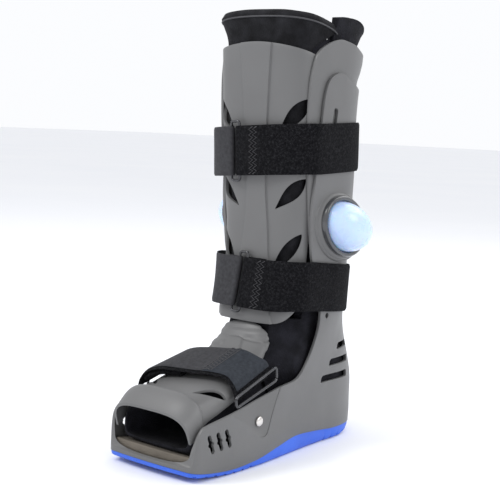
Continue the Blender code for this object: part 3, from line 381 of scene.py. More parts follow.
def cut(thing, tool, operation="DIFFERENCE"):
    step = thing.modifiers.new("cut", "BOOLEAN")
    step.operation = operation
    step.object = tool
    step.solver = "MANIFOLD"


def settle(thing):
    """Applies a piece's modifiers and removes the cutters."""
    tools = [m.object for m in thing.modifiers if m.type == "BOOLEAN"]
    graph = bpy.context.evaluated_depsgraph_get()
    mesh = bpy.data.meshes.new_from_object(thing.evaluated_get(graph))
    thing.modifiers.clear()
    thing.data = mesh
    for tool in tools:
        bpy.data.objects.remove(tool)


def soften(thing, width, angle=42.0, segments=2):
    """Rounds the hard edges."""
    step = thing.modifiers.new("round", "BEVEL")
    step.width = width * MM
    step.segments = segments
    step.limit_method = "ANGLE"
    step.angle_limit = math.radians(angle)
    settle(thing)


def finish(thing, nodes, look, angle=40.0):
    """Smooth shading, material, ride and the CAD nodes that a piece stands for."""
    mesh = thing.data
    mesh.materials.clear()
    mesh.materials.append(look)
    mesh.shade_smooth()
    mesh.set_sharp_from_angle(angle=math.radians(angle))
    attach(thing, "root")
    if nodes:
        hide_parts(*nodes)


# Materials

class Look:
    """A Principled material with helpers for its procedural nodes."""

    def __init__(self, name, colour, roughness, **values):
        self.made = bpy.data.materials.new(name)
        self.made.use_nodes = True
        self.tree = self.made.node_tree
        self.shader = self.tree.nodes["Principled BSDF"]
        self.shader.inputs["Base Color"].default_value = (*colour, 1.0)
        self.shader.inputs["Roughness"].default_value = roughness
        for key, value in values.items():
            self.shader.inputs[key.replace("_", " ")].default_value = value
        self.place = self.node("ShaderNodeTexCoord").outputs["Object"]

    def node(self, kind, **values):
        made = self.tree.nodes.new(kind)
        for key, value in values.items():
            setattr(made, key, value)
        return made

    def link(self, a, b):
        self.tree.links.new(a, b)

    def noise(self, scale, detail):
        made = self.node("ShaderNodeTexNoise")
        made.inputs["Scale"].default_value = scale
        made.inputs["Detail"].default_value = detail
        self.link(self.place, made.inputs["Vector"])
        return made.outputs["Fac"]

    def stretched(self, stretch):
        if not stretch:
            return self.place
        mapping = self.node("ShaderNodeMapping")
        mapping.inputs["Scale"].default_value = stretch
        self.link(self.place, mapping.inputs["Vector"])
        return mapping.outputs["Vector"]

    def colour(self, value, low, high, dark, light):
        """Base colour between two tones as a value runs from low to high."""
        made = self.node("ShaderNodeValToRGB")
        made.color_ramp.elements[0].position = low
        made.color_ramp.elements[1].position = high
        made.color_ramp.elements[0].color = (*dark, 1.0)
        made.color_ramp.elements[1].color = (*light, 1.0)
        self.link(value, made.inputs["Fac"])
        self.link(made.outputs["Color"], self.shader.inputs["Base Color"])

    def rough(self, value, low, high):
        made = self.node("ShaderNodeMapRange")
        made.inputs["To Min"].default_value = low
        made.inputs["To Max"].default_value = high
        self.link(value, made.inputs["Value"])
        self.link(made.outputs["Result"], self.shader.inputs["Roughness"])

    def bump(self, values, distance):
        """Adds up (value, weight) pairs and bumps the surface by them."""
        total = None
        for value, weight in values:
            scaled = self.node("ShaderNodeMath", operation="MULTIPLY")
            self.link(value, scaled.inputs[0])
            scaled.inputs[1].default_value = weight
            if total is None:
                total = scaled.outputs[0]
            else:
                joined = self.node("ShaderNodeMath", operation="ADD")
                self.link(total, joined.inputs[0])
                self.link(scaled.outputs[0], joined.inputs[1])
                total = joined.outputs[0]
        made = self.node("ShaderNodeBump")
        made.inputs["Distance"].default_value = distance
        self.link(total, made.inputs["Height"])
        self.link(made.outputs["Normal"], self.shader.inputs["Normal"])

    def wave(self, scale, direction, distortion):
        made = self.node("ShaderNodeTexWave", bands_direction=direction)
        made.inputs["Scale"].default_value = scale
        made.inputs["Distortion"].default_value = distortion
        self.link(self.place, made.inputs["Vector"])
        return made.outputs["Fac"]

    def cells(self, scale, stretch=None):
        made = self.node("ShaderNodeTexVoronoi")
        made.inputs["Scale"].default_value = scale
        self.link(self.stretched(stretch), made.inputs["Vector"])
        return made.outputs["Distance"]


def grey_plastic():
    look = Look("grey_plastic", (0.25, 0.25, 0.255), 0.42, Specular_IOR_Level=0.5)
    broad = look.noise(9.0, 3.0)
    grain = look.noise(1500.0, 2.0)
    look.colour(broad, 0.3, 0.7, (0.102, 0.102, 0.103), (0.124, 0.124, 0.125))
    look.rough(look.noise(60.0, 4.0), 0.36, 0.50)
    look.bump([(grain, 1.0), (look.noise(40.0, 2.0), 0.5)], 0.00006)
    return look.made


def blue_rubber():
    look = Look("blue_rubber", (0.10, 0.22, 0.80), 0.46)
    look.colour(look.noise(30.0, 3.0), 0.3, 0.7, (0.022, 0.100, 0.60), (0.032, 0.130, 0.68))
    look.rough(look.noise(120.0, 3.0), 0.40, 0.55)
    look.bump([(look.noise(900.0, 2.0), 1.0)], 0.0001)
    return look.made


def knit(name, dark, light):
    look = Look(name, light, 0.88, Sheen_Weight=0.02, Sheen_Roughness=0.5,
                Specular_IOR_Level=0.16)
    rows = look.cells(900.0, (1.0, 1.0, 0.7))
    look.colour(look.noise(70.0, 4.0), 0.35, 0.7, dark, light)
    look.bump([(rows, 1.0), (look.noise(130.0, 3.0), 0.7)], 0.0004)
    return look.made


def pile():
    look = Look("strap_pile", (0.008, 0.008, 0.009), 0.95, Sheen_Weight=0.02,
                Sheen_Roughness=0.5, Specular_IOR_Level=0.06)
    loops = look.cells(900.0)
    speck = look.noise(1400.0, 3.0)
    joined = look.node("ShaderNodeMath", operation="MULTIPLY")
    look.link(speck, joined.inputs[0])
    look.link(look.noise(420.0, 4.0), joined.inputs[1])
    look.colour(joined.outputs[0], 0.22, 0.50, (0.004, 0.004, 0.005), (0.030, 0.030, 0.033))
    look.bump([(loops, 0.9), (look.noise(600.0, 4.0), 1.0)], 0.0007)
    return look.made


def webbing(name, dark, light):
    look = Look(name, light, 0.78, Sheen_Weight=0.02, Specular_IOR_Level=0.2)
    ribs = look.wave(420.0, "Z", 0.6)
    look.colour(look.noise(300.0, 4.0), 0.3, 0.75, dark, light)
    look.bump([(ribs, 0.6), (look.noise(900.0, 3.0), 0.9)], 0.00022)
    return look.made


def plain(name, colour, roughness, dark=0.8, grain=400.0, depth=0.00005, **values):
    look = Look(name, colour, roughness, **values)
    low = tuple(c * dark for c in colour)
    look.colour(look.noise(50.0, 4.0), 0.3, 0.7, low, colour)
    look.rough(look.noise(150.0, 3.0), roughness * 0.85, min(1.0, roughness * 1.15))
    look.bump([(look.noise(grain, 3.0), 1.0)], depth)
    return look.made


GREY = grey_plastic()
BLUE = blue_rubber()
KNIT = knit("liner_knit", (0.004, 0.004, 0.006), (0.013, 0.013, 0.018))
COLLAR = knit("collar_knit", (0.005, 0.005, 0.006), (0.016, 0.016, 0.019))
PILE = pile()
WEB = webbing("strap_webbing", (0.026, 0.026, 0.029), (0.044, 0.044, 0.049))
SLATE = webbing("slate_webbing", (0.018, 0.021, 0.027), (0.032, 0.037, 0.046))
THREAD = plain("thread", (0.045, 0.045, 0.05), 0.7)
BOARD = plain("foam_board", (0.150, 0.130, 0.105), 0.9, 0.7, 700.0, 0.0004)
BEZEL = plain("bezel_gloss", (0.050, 0.052, 0.056), 0.16, 0.85, Coat_Weight=0.5)
BULB = plain("bulb_rubber", (0.50, 0.65, 0.93), 0.28, 0.93, 90.0, 0.00008,
             Subsurface_Weight=0.35, Coat_Weight=0.4, Coat_Roughness=0.12)
BULB.node_tree.nodes["Principled BSDF"].inputs["Subsurface Scale"].default_value = 0.01
STEEL = plain("polished_steel", (0.72, 0.69, 0.66), 0.14, 0.85, Metallic=1.0)
GUNMETAL = plain("gunmetal", (0.075, 0.075, 0.08), 0.26, 0.8, Metallic=0.7)


# Shells

def rows_of(heights, inset):
    return [[(x, y, z) for x, y in ring_of(half_outline(z, inset))] for z in heights]


def tray_rows(heights, inset, floor):
    rows = []
    for z in heights:
        fade = max(0.0, 1.0 - z / SEAM_FADE)
        rows.append([(x, y, z + (seam(y) + floor) * fade)
                     for x, y in ring_of(half_outline(z, inset))])
    return rows


def share_line(rows, height):
    return [(y * (TOE_REACH if y < 0 else CALF_REACH), z * height) for y, z in rows]


def pump_middle():
    half = half_outline(PUMP_HEIGHT, 0.0)
    return half[0][1] + (half[-1][1] - half[0][1]) * PUMP_SHARE


OVAL_STEPS = 96


def oval(length, width, reach, side):
    """Upright oval round the pump's middle, tilted as the pump is."""
    tilt = math.radians(-PUMP_TILT)
    way = (math.cos(tilt), math.sin(tilt))
    ring = []
    for k in range(OVAL_STEPS):
        turn = 2.0 * math.pi * k / OVAL_STEPS
        a, b = math.cos(turn) * length / 2.0, math.sin(turn) * width / 2.0
        ring.append((side * reach, pump_middle() + way[0] * a - way[1] * b,
                     PUMP_HEIGHT + way[1] * a + way[0] * b))
    return ring


def capsule(start, end, width, sides=8, notch=0.0):
    (ax, ay), (bx, by) = start, end
    run = math.atan2(by - ay, bx - ax)
    outline = []
    for (cx, cy), (ox, oy), turn in (((bx, by), (ax, ay), run - math.pi / 2),
                                     ((ax, ay), (bx, by), run + math.pi / 2)):
        for k in range(sides + 1):
            angle = turn + math.pi * k / sides
            outline.append((cx + width / 2 * math.cos(angle), cy + width / 2 * math.sin(angle)))
        if notch:
            side = turn + math.pi
            for share in (0.36, 0.44, 0.56, 0.64):
                out = width / 2 + (notch if 0.4 < share < 0.6 else 0.0)
                outline.append((cx + (ox - cx) * share + out * math.cos(side),
                                cy + (oy - cy) * share + out * math.sin(side)))
    return outline


def lens(inner, outer, width, steps=26):
    (ix, iy), (ox, oy) = inner, outer
    run = math.hypot(ox - ix, oy - iy)
    nx, ny = -(oy - iy) / run, (ox - ix) / run
    upper, lower = [], []
    for k in range(steps + 1):
        t = k / steps
        wide = 0.4 + width / 2 * max(math.sin(math.pi * t ** 1.35), 0.0) ** 0.8
        px, py = ix + (ox - ix) * t, iy + (oy - iy) * t
        upper.append((px + nx * wide, py + ny * wide))
        lower.append((px - nx * wide, py - ny * wide))
    return lower + upper[::-1]


def wall_crease(y, z):
    """Soft horizontal crease round the tray above its seam, as a move outwards."""
    middle = seam(y) + 13.0
    return 0.9 * math.exp(-((z - middle) / 9.0) ** 2) * smooth((y + 150.0) / 60.0)


def make_base():
    heights = [0, 8, 16, 24, 32, 40, 50] + [60 + 8 * k for k in range(44)]
    rows = []
    for row in tray_rows(heights, 0.0, 0.0):
        out = []
        for x, y, z in row:
            push = wall_crease(y, z) if z < 70.0 else 0.0
            size = max(math.hypot(x, y * 0.3), 1.0)
            out.append((x * (1.0 + push / size), y, z))
        rows.append(out)
    base = loft("base_shell_fine", rows)
    for side in (1, -1):
        seat = PUMP_REACH - 1.0
        profile = [(12, 30.0), (12, seat - 6.5), (11, seat - 4.6), (8.4, seat - 3.4),
                   (7.4, seat - 3.6), (6.4, seat - 3.2), (4.6, seat - 1.2), (2, seat)]
        rings = [oval(PUMP_LENGTH + grow, PUMP_WIDTH + grow, reach, side)
                 for grow, reach in profile]
        cut(base, turned("tool", rings), "UNION")
    cut(base, loft("tool", tray_rows(heights, BASE_WALL, TRAY_FLOOR)))
    edge = flow(share_line(BASE_EDGE, UPRIGHT_HEIGHT))
    outside = [(-TOE_REACH * 1.1, edge[0][1])] + edge
    outside += [(CALF_REACH * 1.3, edge[-1][1]), (CALF_REACH * 1.3, CALF_HEIGHT * 1.05),
                (-TOE_REACH * 1.1, CALF_HEIGHT * 1.05)]
    cut(base, prism(outside))
    for outline in side_slots():
        cut(base, prism(outline))
    for k in range(3):
        z = UPRIGHT_HEIGHT * (0.283 - 0.041 * k)
        front = CALF_REACH * (0.675 - 0.115 * k)
        back = CALF_REACH * (0.93 - 0.03 * k)
        corners = [(front + 3.5, z), (front + 1.0, z - 2.0), (front, z - 6.0),
                   (front + 1.2, z - 7.5), (back - 1.5, z - 7.5), (back, z - 6.0),
                   (back, z - 1.5), (back - 1.5, z)]
        for side in (1, -1):
            cut(base, prism(corners, *sorted((side * 22.0, side * CALF_WIDTH))))
    for side in (1, -1):
        cut(base, recess_tool(side))
    settle(base)
    soften(base, 0.55)
    finish(base, ["base_shell"], GREY)


RECESS = [(-22.0, 84.0), (-34.0, 60.0), (-43.0, 38.0), (-46.0, 35.6), (-51.0, 35.0), (-56.0, 36.6),
          (-70.0, 46.0), (-87.0, 58.0), (-104.0, 69.0), (-104.0, 90.0), (-22.0, 100.0)]


def recess_tool(side):
    """Cutter for the shallow triangular panel round the rivet."""
    outline = flow(RECESS, 4)
    points = [(side * (surface_x(y, z, 0.0) - RECESS_DEPTH), y, z) for y, z in outline]
    points += [(side * 90.0, y, z) for y, z in outline]
    return capped(points, len(outline))


def side_slots():
    """Strap slot, round hole above the ankle and three toe vents, in side view."""
    strap = capsule((0.28 * CALF_REACH, 0.902 * UPRIGHT_HEIGHT),
                    (0.245 * CALF_REACH, 0.80 * UPRIGHT_HEIGHT), SLOT_WIDTH)
    hole = capsule((0.41 * CALF_REACH, 0.369 * UPRIGHT_HEIGHT),
                   (0.41 * CALF_REACH, 0.3685 * UPRIGHT_HEIGHT), STRAP_HOLE)
    vents = []
    for k in range(3):
        y = -TOE_REACH * (0.852 - 0.076 * k)
        z = UPRIGHT_HEIGHT * (0.1215 + 0.0026 * k)
        vents.append(capsule((y, z), (y + 5.3, z - 14.0), TOE_SLOT_WIDTH, notch=1.3))
    return [strap, hole] + vents


def make_rear_shell():
    heights = [168 + 9 * k for k in range(31)]
    inset = BASE_WALL + GAP
    shell = loft("rear_shell_fine", rows_of(heights, inset))
    cut(shell, loft("tool", rows_of([150] + heights[1:-1] + [450], inset + SHELL_WALL)))
    edge = flow(share_line(REAR_EDGE, REAR_HEIGHT))
    outside = [(-60.0, edge[0][1] - 20), (edge[0][0], edge[0][1] - 20)] + edge
    outside += [(CALF_REACH * 1.3, edge[-1][1]), (CALF_REACH * 1.3, CALF_HEIGHT * 1.1),
                (-60.0, CALF_HEIGHT * 1.1)]
    cut(shell, prism(outside))
    settle(shell)
    soften(shell, 0.6)
    finish(shell, ["rear_shell"], GREY)


def front_point(u, z, inset):
    rise = (z - FRONT_BOTTOM) / (FRONT_TOP - FRONT_BOTTOM)
    strip = lookup(STRIP, rise) * CALF_WIDTH
    half = leg_half(z, inset)
    run = shares(half)
    edge = 0.0
    for k in range(len(half) - 1):
        if half[k][0] <= strip <= half[k + 1][0]:
            t = (strip - half[k][0]) / (half[k + 1][0] - half[k][0])
            edge = run[k] + (run[k + 1] - run[k]) * t
            break
    size = abs(u)
    share = edge * size / STRIP_SHARE
    if size > STRIP_SHARE:
        share = edge + (FRONT_WRAP - edge) * (size - STRIP_SHARE) / (1.0 - STRIP_SHARE)
    x, y = at_shares(half, [share])[0]
    return (math.copysign(x, u), y, z)


def make_front_shell():
    inset = BASE_WALL + SHELL_WALL + 2.0 * GAP
    side = [0.304, 0.309, 0.32] + [0.34 + 0.66 * k / 34 for k in range(35)]
    strip = [STRIP_SHARE * k / 12 for k in range(1, 12)] + [0.291, 0.297]
    columns = [-u for u in reversed(strip + side)] + [0.0] + strip + side
    outer, inner = [], []
    for r in range(61):
        t = r / 60
        line_out, line_in = [], []
        for u in columns:
            low = FRONT_BOTTOM + 20.0 * abs(u) ** 3
            high = FRONT_TOP - 13.0 * abs(u) ** 2
            z = low + (high - low) * t
            relief = STRIP_RELIEF * smooth((0.309 - abs(u)) / 0.014)
            line_out.append(front_point(u, z, inset - relief))
            line_in.append(front_point(u, z, inset + SHELL_WALL))
        outer.append(line_out)
        inner.append(line_in)
    shell = wall("front_shell_fine", outer, inner)
    turn = math.radians(LENS_FACING)
    for inner_end, outer_end, width in LENSES:
        ends = [(x * CALF_WIDTH, z * FRONT_TOP) for x, z in (inner_end, outer_end)]
        outline = lens(ends[0], ends[1], width)
        for side in (1, -1):
            points = [(side * (across * math.cos(turn) + reach * math.sin(turn)),
                       across * math.sin(turn) - reach * math.cos(turn), z)
                      for reach in (0.0, CALF_WIDTH) for across, z in outline]
            cut(shell, capped(points, len(outline)))
    settle(shell)
    soften(shell, 0.5, 50.0)
    finish(shell, ["front_shell"], GREY)


def cover_point(u, along, inset):
    crown = lookup(CROWN, along) * PANEL_TOP - inset
    half = lookup(COVER_HALF, along) * COVER_WIDTH / 2.0 - inset
    side = lookup(COVER_SIDE, along) * PANEL_TOP
    power = lookup(COVER_POWER, along)
    turn = math.radians(90.0 * u)
    x = math.copysign(half * abs(math.sin(turn)) ** (2.0 / power), u)
    z = side + (crown - side) * max(math.cos(turn), 0.0) ** (2.0 / power)
    y = COVER_FRONT + (COVER_BACK - COVER_FRONT) * along
    y += max(0.0, 1.0 - along / 0.155) * 9.0 * (1.0 - (z - side) / (crown - side))
    return (x, y, z)


def band(value, low, high, soft):
    """1 between two limits and 0 outside them, with soft edges."""
    return smooth((value - low) / soft + 0.5) * smooth((high - value) / soft + 0.5)


def cover_relief(x, y, z):
    """Bellows, bar and raised field of the panel, as a move outwards."""
    ledge = 1.5 * smooth((z - 0.10 * x - 126.0) / 1.2) + 1.2 * smooth((z - 0.08 * x - 132.5) / 1.2)
    groove = -1.6 * math.exp(-((z + 0.10 * abs(x) - 127.0) / 1.2) ** 2)
    field = (-1.3 * band(x, 6.0 - 0.5 * (y + 24.0), 60.0, 1.5)
             * band(y, -48.0, -23.0 + 0.16 * (x - 9), 1.5))
    bar = 1.3 * band(x, -40.0, -14.0, 1.5) * band(z - 0.12 * x, 117.0, 121.0, 1.2)
    return ledge + groove + field * (y < -10.0) + bar


COVER_SLOTS = [((25.0, -119.0), (47.0, -95.0), 9.0), ((20.0, -47.0), (35.0, -31.5), 7.0)]


def make_toe_cover():
    stations = [k / 40 * 0.15 for k in range(12)]
    stations += [0.045, 0.06, 0.08, 0.10, 0.12, 0.135, 0.148, 0.155, 0.160, 0.165, 0.170, 0.175,
                 0.182, 0.195]
    stations += [0.21 + 0.79 * k / 110 for k in range(111)]
    stations = sorted(set(round(s, 4) for s in stations))
    outer, inner = [], []
    for along in stations:
        line_out, line_in = [], []
        for k in range(81):
            u = -1.0 + 2.0 * k / 80
            x, y, z = cover_point(u, along, 0.0)
            line_out.append(cover_point(u, along, -cover_relief(x, y, z)))
            line_in.append(cover_point(u, along, COVER_WALL))
        outer.append(line_out)
        inner.append(line_in)
    cover = wall("toe_cover_fine", outer, inner)
    for start, end, width in COVER_SLOTS:
        for side in (1, -1):
            outline = lens((side * start[0], start[1]), (side * end[0], end[1]), width)
            points = [(x, y, z) for z in (60.0, 150.0) for x, y in outline]
            cut(cover, capped(points, len(outline)))
    settle(cover)
    soften(cover, 0.6, 50.0)
    finish(cover, ["toe_cover"], GREY)


def make_outsole():
    """Blue sole with cleats across its forefoot and heel."""
    def groove(y):
        for start, end in ((-146.0, -60.0), (70.0, 130.0)):
            if start < y < end:
                return 2.0 * (1.0 if ((y - start) % 13.0) < 3.2 else 0.0)
        return 0.0

    fine = [k / 420 for k in range(421)]
    rows = []
    for inset, part in ((0.8, 1.0), (0.7, 0.92), (0.8, 0.5), (1.4, 0.22), (2.6, 0.10),
                        (TREAD_INSET, 0.0)):
        ring = ring_of(at_shares(foot_half(inset), fine))
        rows.append([(x, y, tread(y) + (seam(y) - SEAT_GAP - tread(y)) * part
                      + (groove(y) if part < 0.3 else 0.0)) for x, y in ring])
    sole = loft("outsole_fine", rows)
    finish(sole, ["outsole"], BLUE, 32.0)


def insole_top(y):
    return seam(y) + TRAY_FLOOR + SEAT_GAP + INSOLE_THICKNESS


def make_insole():
    rows = []
    for inset, rise in ((0.6, 0.0), (0.0, 0.08), (0.0, 0.9), (0.8, 1.0)):
        ring = ring_of(foot_half(BASE_WALL + LINER_GAP + inset))
        rows.append([(x, y, seam(y) + TRAY_FLOOR + SEAT_GAP + INSOLE_THICKNESS * rise)
                     for x, y in ring])
    finish(loft("insole_fine", rows), ["insole"], BOARD)


# Liner and pad

def tunnel_row(y, inset, sides=72):
    along = (y - COVER_FRONT) / (COVER_BACK - COVER_FRONT)
    crown = lookup(CROWN, max(along, 0.18)) * PANEL_TOP
    crown = min(crown, PANEL_TOP * 0.78) - COVER_WALL - LINER_GAP - inset
    crown = min(crown, lookup(CROWN, along) * PANEL_TOP - COVER_WALL - LINER_GAP - inset)
    half = COVER_WIDTH / 2.0 * min(lookup(COVER_HALF, along), 0.97)
    half -= COVER_WALL + LINER_FOOT_GAP + inset
    low = insole_top(y) + SEAT_GAP + inset
    middle = low + (crown - low) * 0.30
    ring = []
    for k in range(sides):
        turn = 2.0 * math.pi * k / sides
        across, up = math.sin(turn), math.cos(turn)
        power = 2.0 / (2.4 if up >= 0.0 else 5.0)
        reach = crown - middle if up >= 0.0 else middle - low
        x = math.copysign(half * abs(across) ** power, across)
        ring.append((x if k % (sides // 2) else 0.0, y,
                     middle + math.copysign(reach * abs(up) ** power, up)))
    return ring


def sock_row(z, inset, first):
    spare = BASE_WALL + LINER_GAP
    leg_inset = BASE_WALL + 2.0 * GAP + 2.0 * SHELL_WALL + LINER_GAP
    blend = smooth((z - ANKLE_HEIGHT * 0.6) / (ANKLE_HEIGHT * 0.3))
    gap = spare + (leg_inset - spare) * blend
    half = half_outline(z, gap + inset)
    share = z / CALF_HEIGHT
    if share < SOCK[-1][0]:
        front = lookup(SOCK, share) + inset
        squeeze = (SOCK_PIVOT - front) / (SOCK_PIVOT - half[0][1])
        half = [(x, y if y > SOCK_PIVOT else SOCK_PIVOT - (SOCK_PIVOT - y) * squeeze)
                for x, y in half]
        half = [(min(x, surface_x(y, z, gap + inset) * (0.60 + 0.40 * smooth((y - front) / 45.0))),
                 y) for x, y in half]
    flare = LINER_FLARE * smooth((z - CALF_HEIGHT) / (LINER_HEIGHT - CALF_HEIGHT))
    half = [(x * (1.0 + flare / CALF_WIDTH), y + flare * max(y, 0.0) / CALF_REACH)
            for x, y in half]
    return [(x, y, insole_top(y) + SEAT_GAP + inset if first else z) for x, y in ring_of(half)]


LINER_TOP = [(-0.5, 0.97), (0.10, 0.975), (0.20, 0.992), (0.40, 1.0), (0.60, 0.995),
             (0.80, 0.975), (1.2, 0.93)]


def make_liner():
    heights = [40, 60, 70, 80, 90, 102, 113, 124, 135, 146, 157, 168, 184, 200, 235, 275, 320,
               360, 395, 420, 430, 440, 450]
    sock = loft("boot_liner_fine", [sock_row(z, 0.0, not k)
                                    for k, z in enumerate(heights + [460])])
    stations = [LINER_TOE, -140.0, -138.0, -134.0, -128.0, -115.0, -100.0, -80.0, -60.0, -40.0,
                -20.0, 0.0, 12.0]
    rims = {LINER_TOE: 4.0, -140.0: 2.0, -138.0: 0.8}
    cut(sock, turned("tool", [tunnel_row(y, rims.get(y, 0.0)) for y in stations]), "UNION")
    cut(sock, loft("tool", [sock_row(z, LINER_WALL, not k)
                            for k, z in enumerate(heights + [468])]))
    hollow = [tunnel_row(LINER_TOE, LINER_WALL * 0.7)]
    hollow[0] = [(x, LINER_TOE - 8.0, z) for x, y, z in hollow[0]]
    hollow += [tunnel_row(y, LINER_WALL * 0.7) for y in stations[1:-1]]
    hollow.append([(x, 26.0, z) for x, y, z in tunnel_row(26.0, LINER_WALL * 0.7)])
    cut(sock, turned("tool", hollow))
    flap = [(-80.0, 144.0), (25.6, 144.0), (25.6, 400.0), (36.0, 425.7), (38.0, 516.0),
            (-80.0, 516.0)]
    cut(sock, prism(flap))
    top = flow(share_line(LINER_TOP, LINER_HEIGHT))
    cut(sock, prism(top + [(CALF_REACH * 1.3, 560.0), (-80.0, 560.0)]))
    settle(sock)
    soften(sock, 2.4, 50.0, 4)
    plump(sock, 0.7, 30.0)
    finish(sock, ["boot_liner"], KNIT, 60.0)


def plump(thing, depth, size):
    """Soft unevenness of padding, as moves along the normals."""
    mesh = thing.data
    for vertex in mesh.vertices:
        place = vertex.co / (size * MM)
        vertex.co += vertex.normal * (noise.noise(place) - 0.15) * depth * MM
    mesh.update()


def pad_point(u, t, inset):
    low = 0.345 * CALF_HEIGHT
    high = PAD_HEIGHT - (14.0 if u > 0.0 else 24.0) * abs(u) ** 2.4
    z = low + (high - low) * t
    wrap = 0.30 + 0.19 * smooth((z - 0.97 * CALF_HEIGHT) / 26.0)
    flare = PAD_FLARE * smooth((z - FRONT_TOP) / (PAD_HEIGHT - FRONT_TOP))
    spare = BASE_WALL + 2.0 * GAP + 2.0 * SHELL_WALL + LINER_GAP
    x, y = at_shares(leg_half(z, spare - flare + inset), [wrap * abs(u)])[0]
    return (math.copysign(x, u), y, z)


def make_pad():
    columns, rows = 64, 72
    outer, inner = [], []
    for r in range(rows + 1):
        t = r / rows
        line_out, line_in = [], []
        for k in range(columns + 1):
            u = -1.0 + 2.0 * k / columns
            rim = max(0.0, 1.0 - (1.0 - t) / 0.018)
            rim = max(rim, 1.0 - (1.0 - abs(u)) / 0.05, 0.0)
            thin = LINER_WALL * 0.5 * (1.0 - math.sqrt(max(0.0, 1.0 - rim * rim)))
            line_out.append(pad_point(u, t, thin * 0.9))
            line_in.append(pad_point(u, t, LINER_WALL - thin * 0.9))
        outer.append(line_out)
        inner.append(line_in)
    pad = wall("front_pad_fine", outer, inner)
    plump(pad, 0.8, 26.0)
    finish(pad, ["front_pad"], COLLAR, 70.0)
    line = [Vector(pad_point(-1.0 + 2.0 * k / 80, 1.0 - 7.0 / (PAD_HEIGHT - 148.0), -0.2))
            for k in range(81)]
    finish(cord_along("pad_piping", line, 0.9), [], THREAD)


def cord_along(name, line, radius, sides=8, closed=False):
    """Round cord through points."""
    rings = []
    count = len(line)
    for k, p in enumerate(line):
        before = line[k - 1] if k or closed else line[0]
        after = line[(k + 1) % count] if k + 1 < count or closed else line[-1]
        way = (after - before).normalized()
        side = way.cross(Vector((0.0, 0.0, 1.0)) if abs(way.z) < 0.9 else Vector((0.0, 1.0, 0.0)))
        side.normalize()
        up = side.cross(way)
        rings.append([tuple(p + side * radius * math.cos(2.0 * math.pi * j / sides)
                            + up * radius * math.sin(2.0 * math.pi * j / sides))
                      for j in range(sides)])
    return turned(name, rings, tube=closed)


# Straps

def belt(z):
    deep = BASE_WALL + 2.0 * GAP + SHELL_WALL - SOLID_STRIP_RELIEF
    near = half_outline(z, 0.0)
    far = at_shares(leg_half(z, deep), PLAN_SHARES)
    half = []
    for a, b in zip(near, far):
        blend = smooth((a[1] + 12.0) / 24.0)
        half.append((b[0] + (a[0] - b[0]) * blend, b[1] + (a[1] - b[1]) * blend))
    return [(-x, y) for x, y in reversed(half)] + half[1:]


belts = {}


def belt_point(z, along, above):
    """Point of a strap's line at a distance along from the shin's middle."""
    key = round(z, 2)
    if key not in belts:
        line = belt(z)
        belts[key] = (line, distances(line))
    line, run = belts[key]
    want = min(max(along + run[len(line) // 2], 0.001), run[-1] - 0.001)
    low, t = segment(run, want)
    p = Vector(line[low]).lerp(Vector(line[low + 1]), t)
    before, after = Vector(line[max(low - 3, 0)]), Vector(line[min(low + 4, len(line) - 1)])
    way = (after - before).normalized()
    return p + Vector((way.y, -way.x)) * above


def ribbon(name, route, thickness, centre, lean, drop):
    """Flat band along a route, rounded at its edges."""
    profile = []
    for k in range(21):
        s = -1.0 + 2.0 * k / 20
        rim = max(0.0, 1.0 - (1.0 - abs(s)) * STRAP_WIDTH / 2.0 / (thickness / 2.0))
        profile.append((s, thickness / 2.0 * math.sqrt(max(0.05, 1.0 - rim * rim))))
    rows = []
    for i, (along, above) in enumerate(route):
        up, down = [], []
        for s, half in profile:
            z = centre + s * STRAP_WIDTH / 2.0
            here = belt_point(z, along, above)
            before = belt_point(z, *route[max(i - 1, 0)])
            after = belt_point(z, *route[min(i + 1, len(route) - 1)])
            way = (after - before).normalized()
            out = Vector((way.y, -way.x)) * half
            height = (centre + lean * here.x + drop * max(here.y - 15.0, 0.0)
                      + s * STRAP_WIDTH / 2.0)
            up.append((*(here + out), height))
            down.append((*(here - out), height))
        rows.append(up + down[::-1])
    return turned(name, rows)


def fold(bar, radius, way, tail, low):
    """Route of an end that wraps round a ring's bar; way is +1 to leave to the right."""
    route = [(bar + way * (tail * (1.0 - k / 8)), low) for k in range(8)]
    for k in range(25):
        turn = math.pi * k / 24
        route.append((bar - way * radius * math.sin(turn), low + radius - radius * math.cos(turn)))
    return route


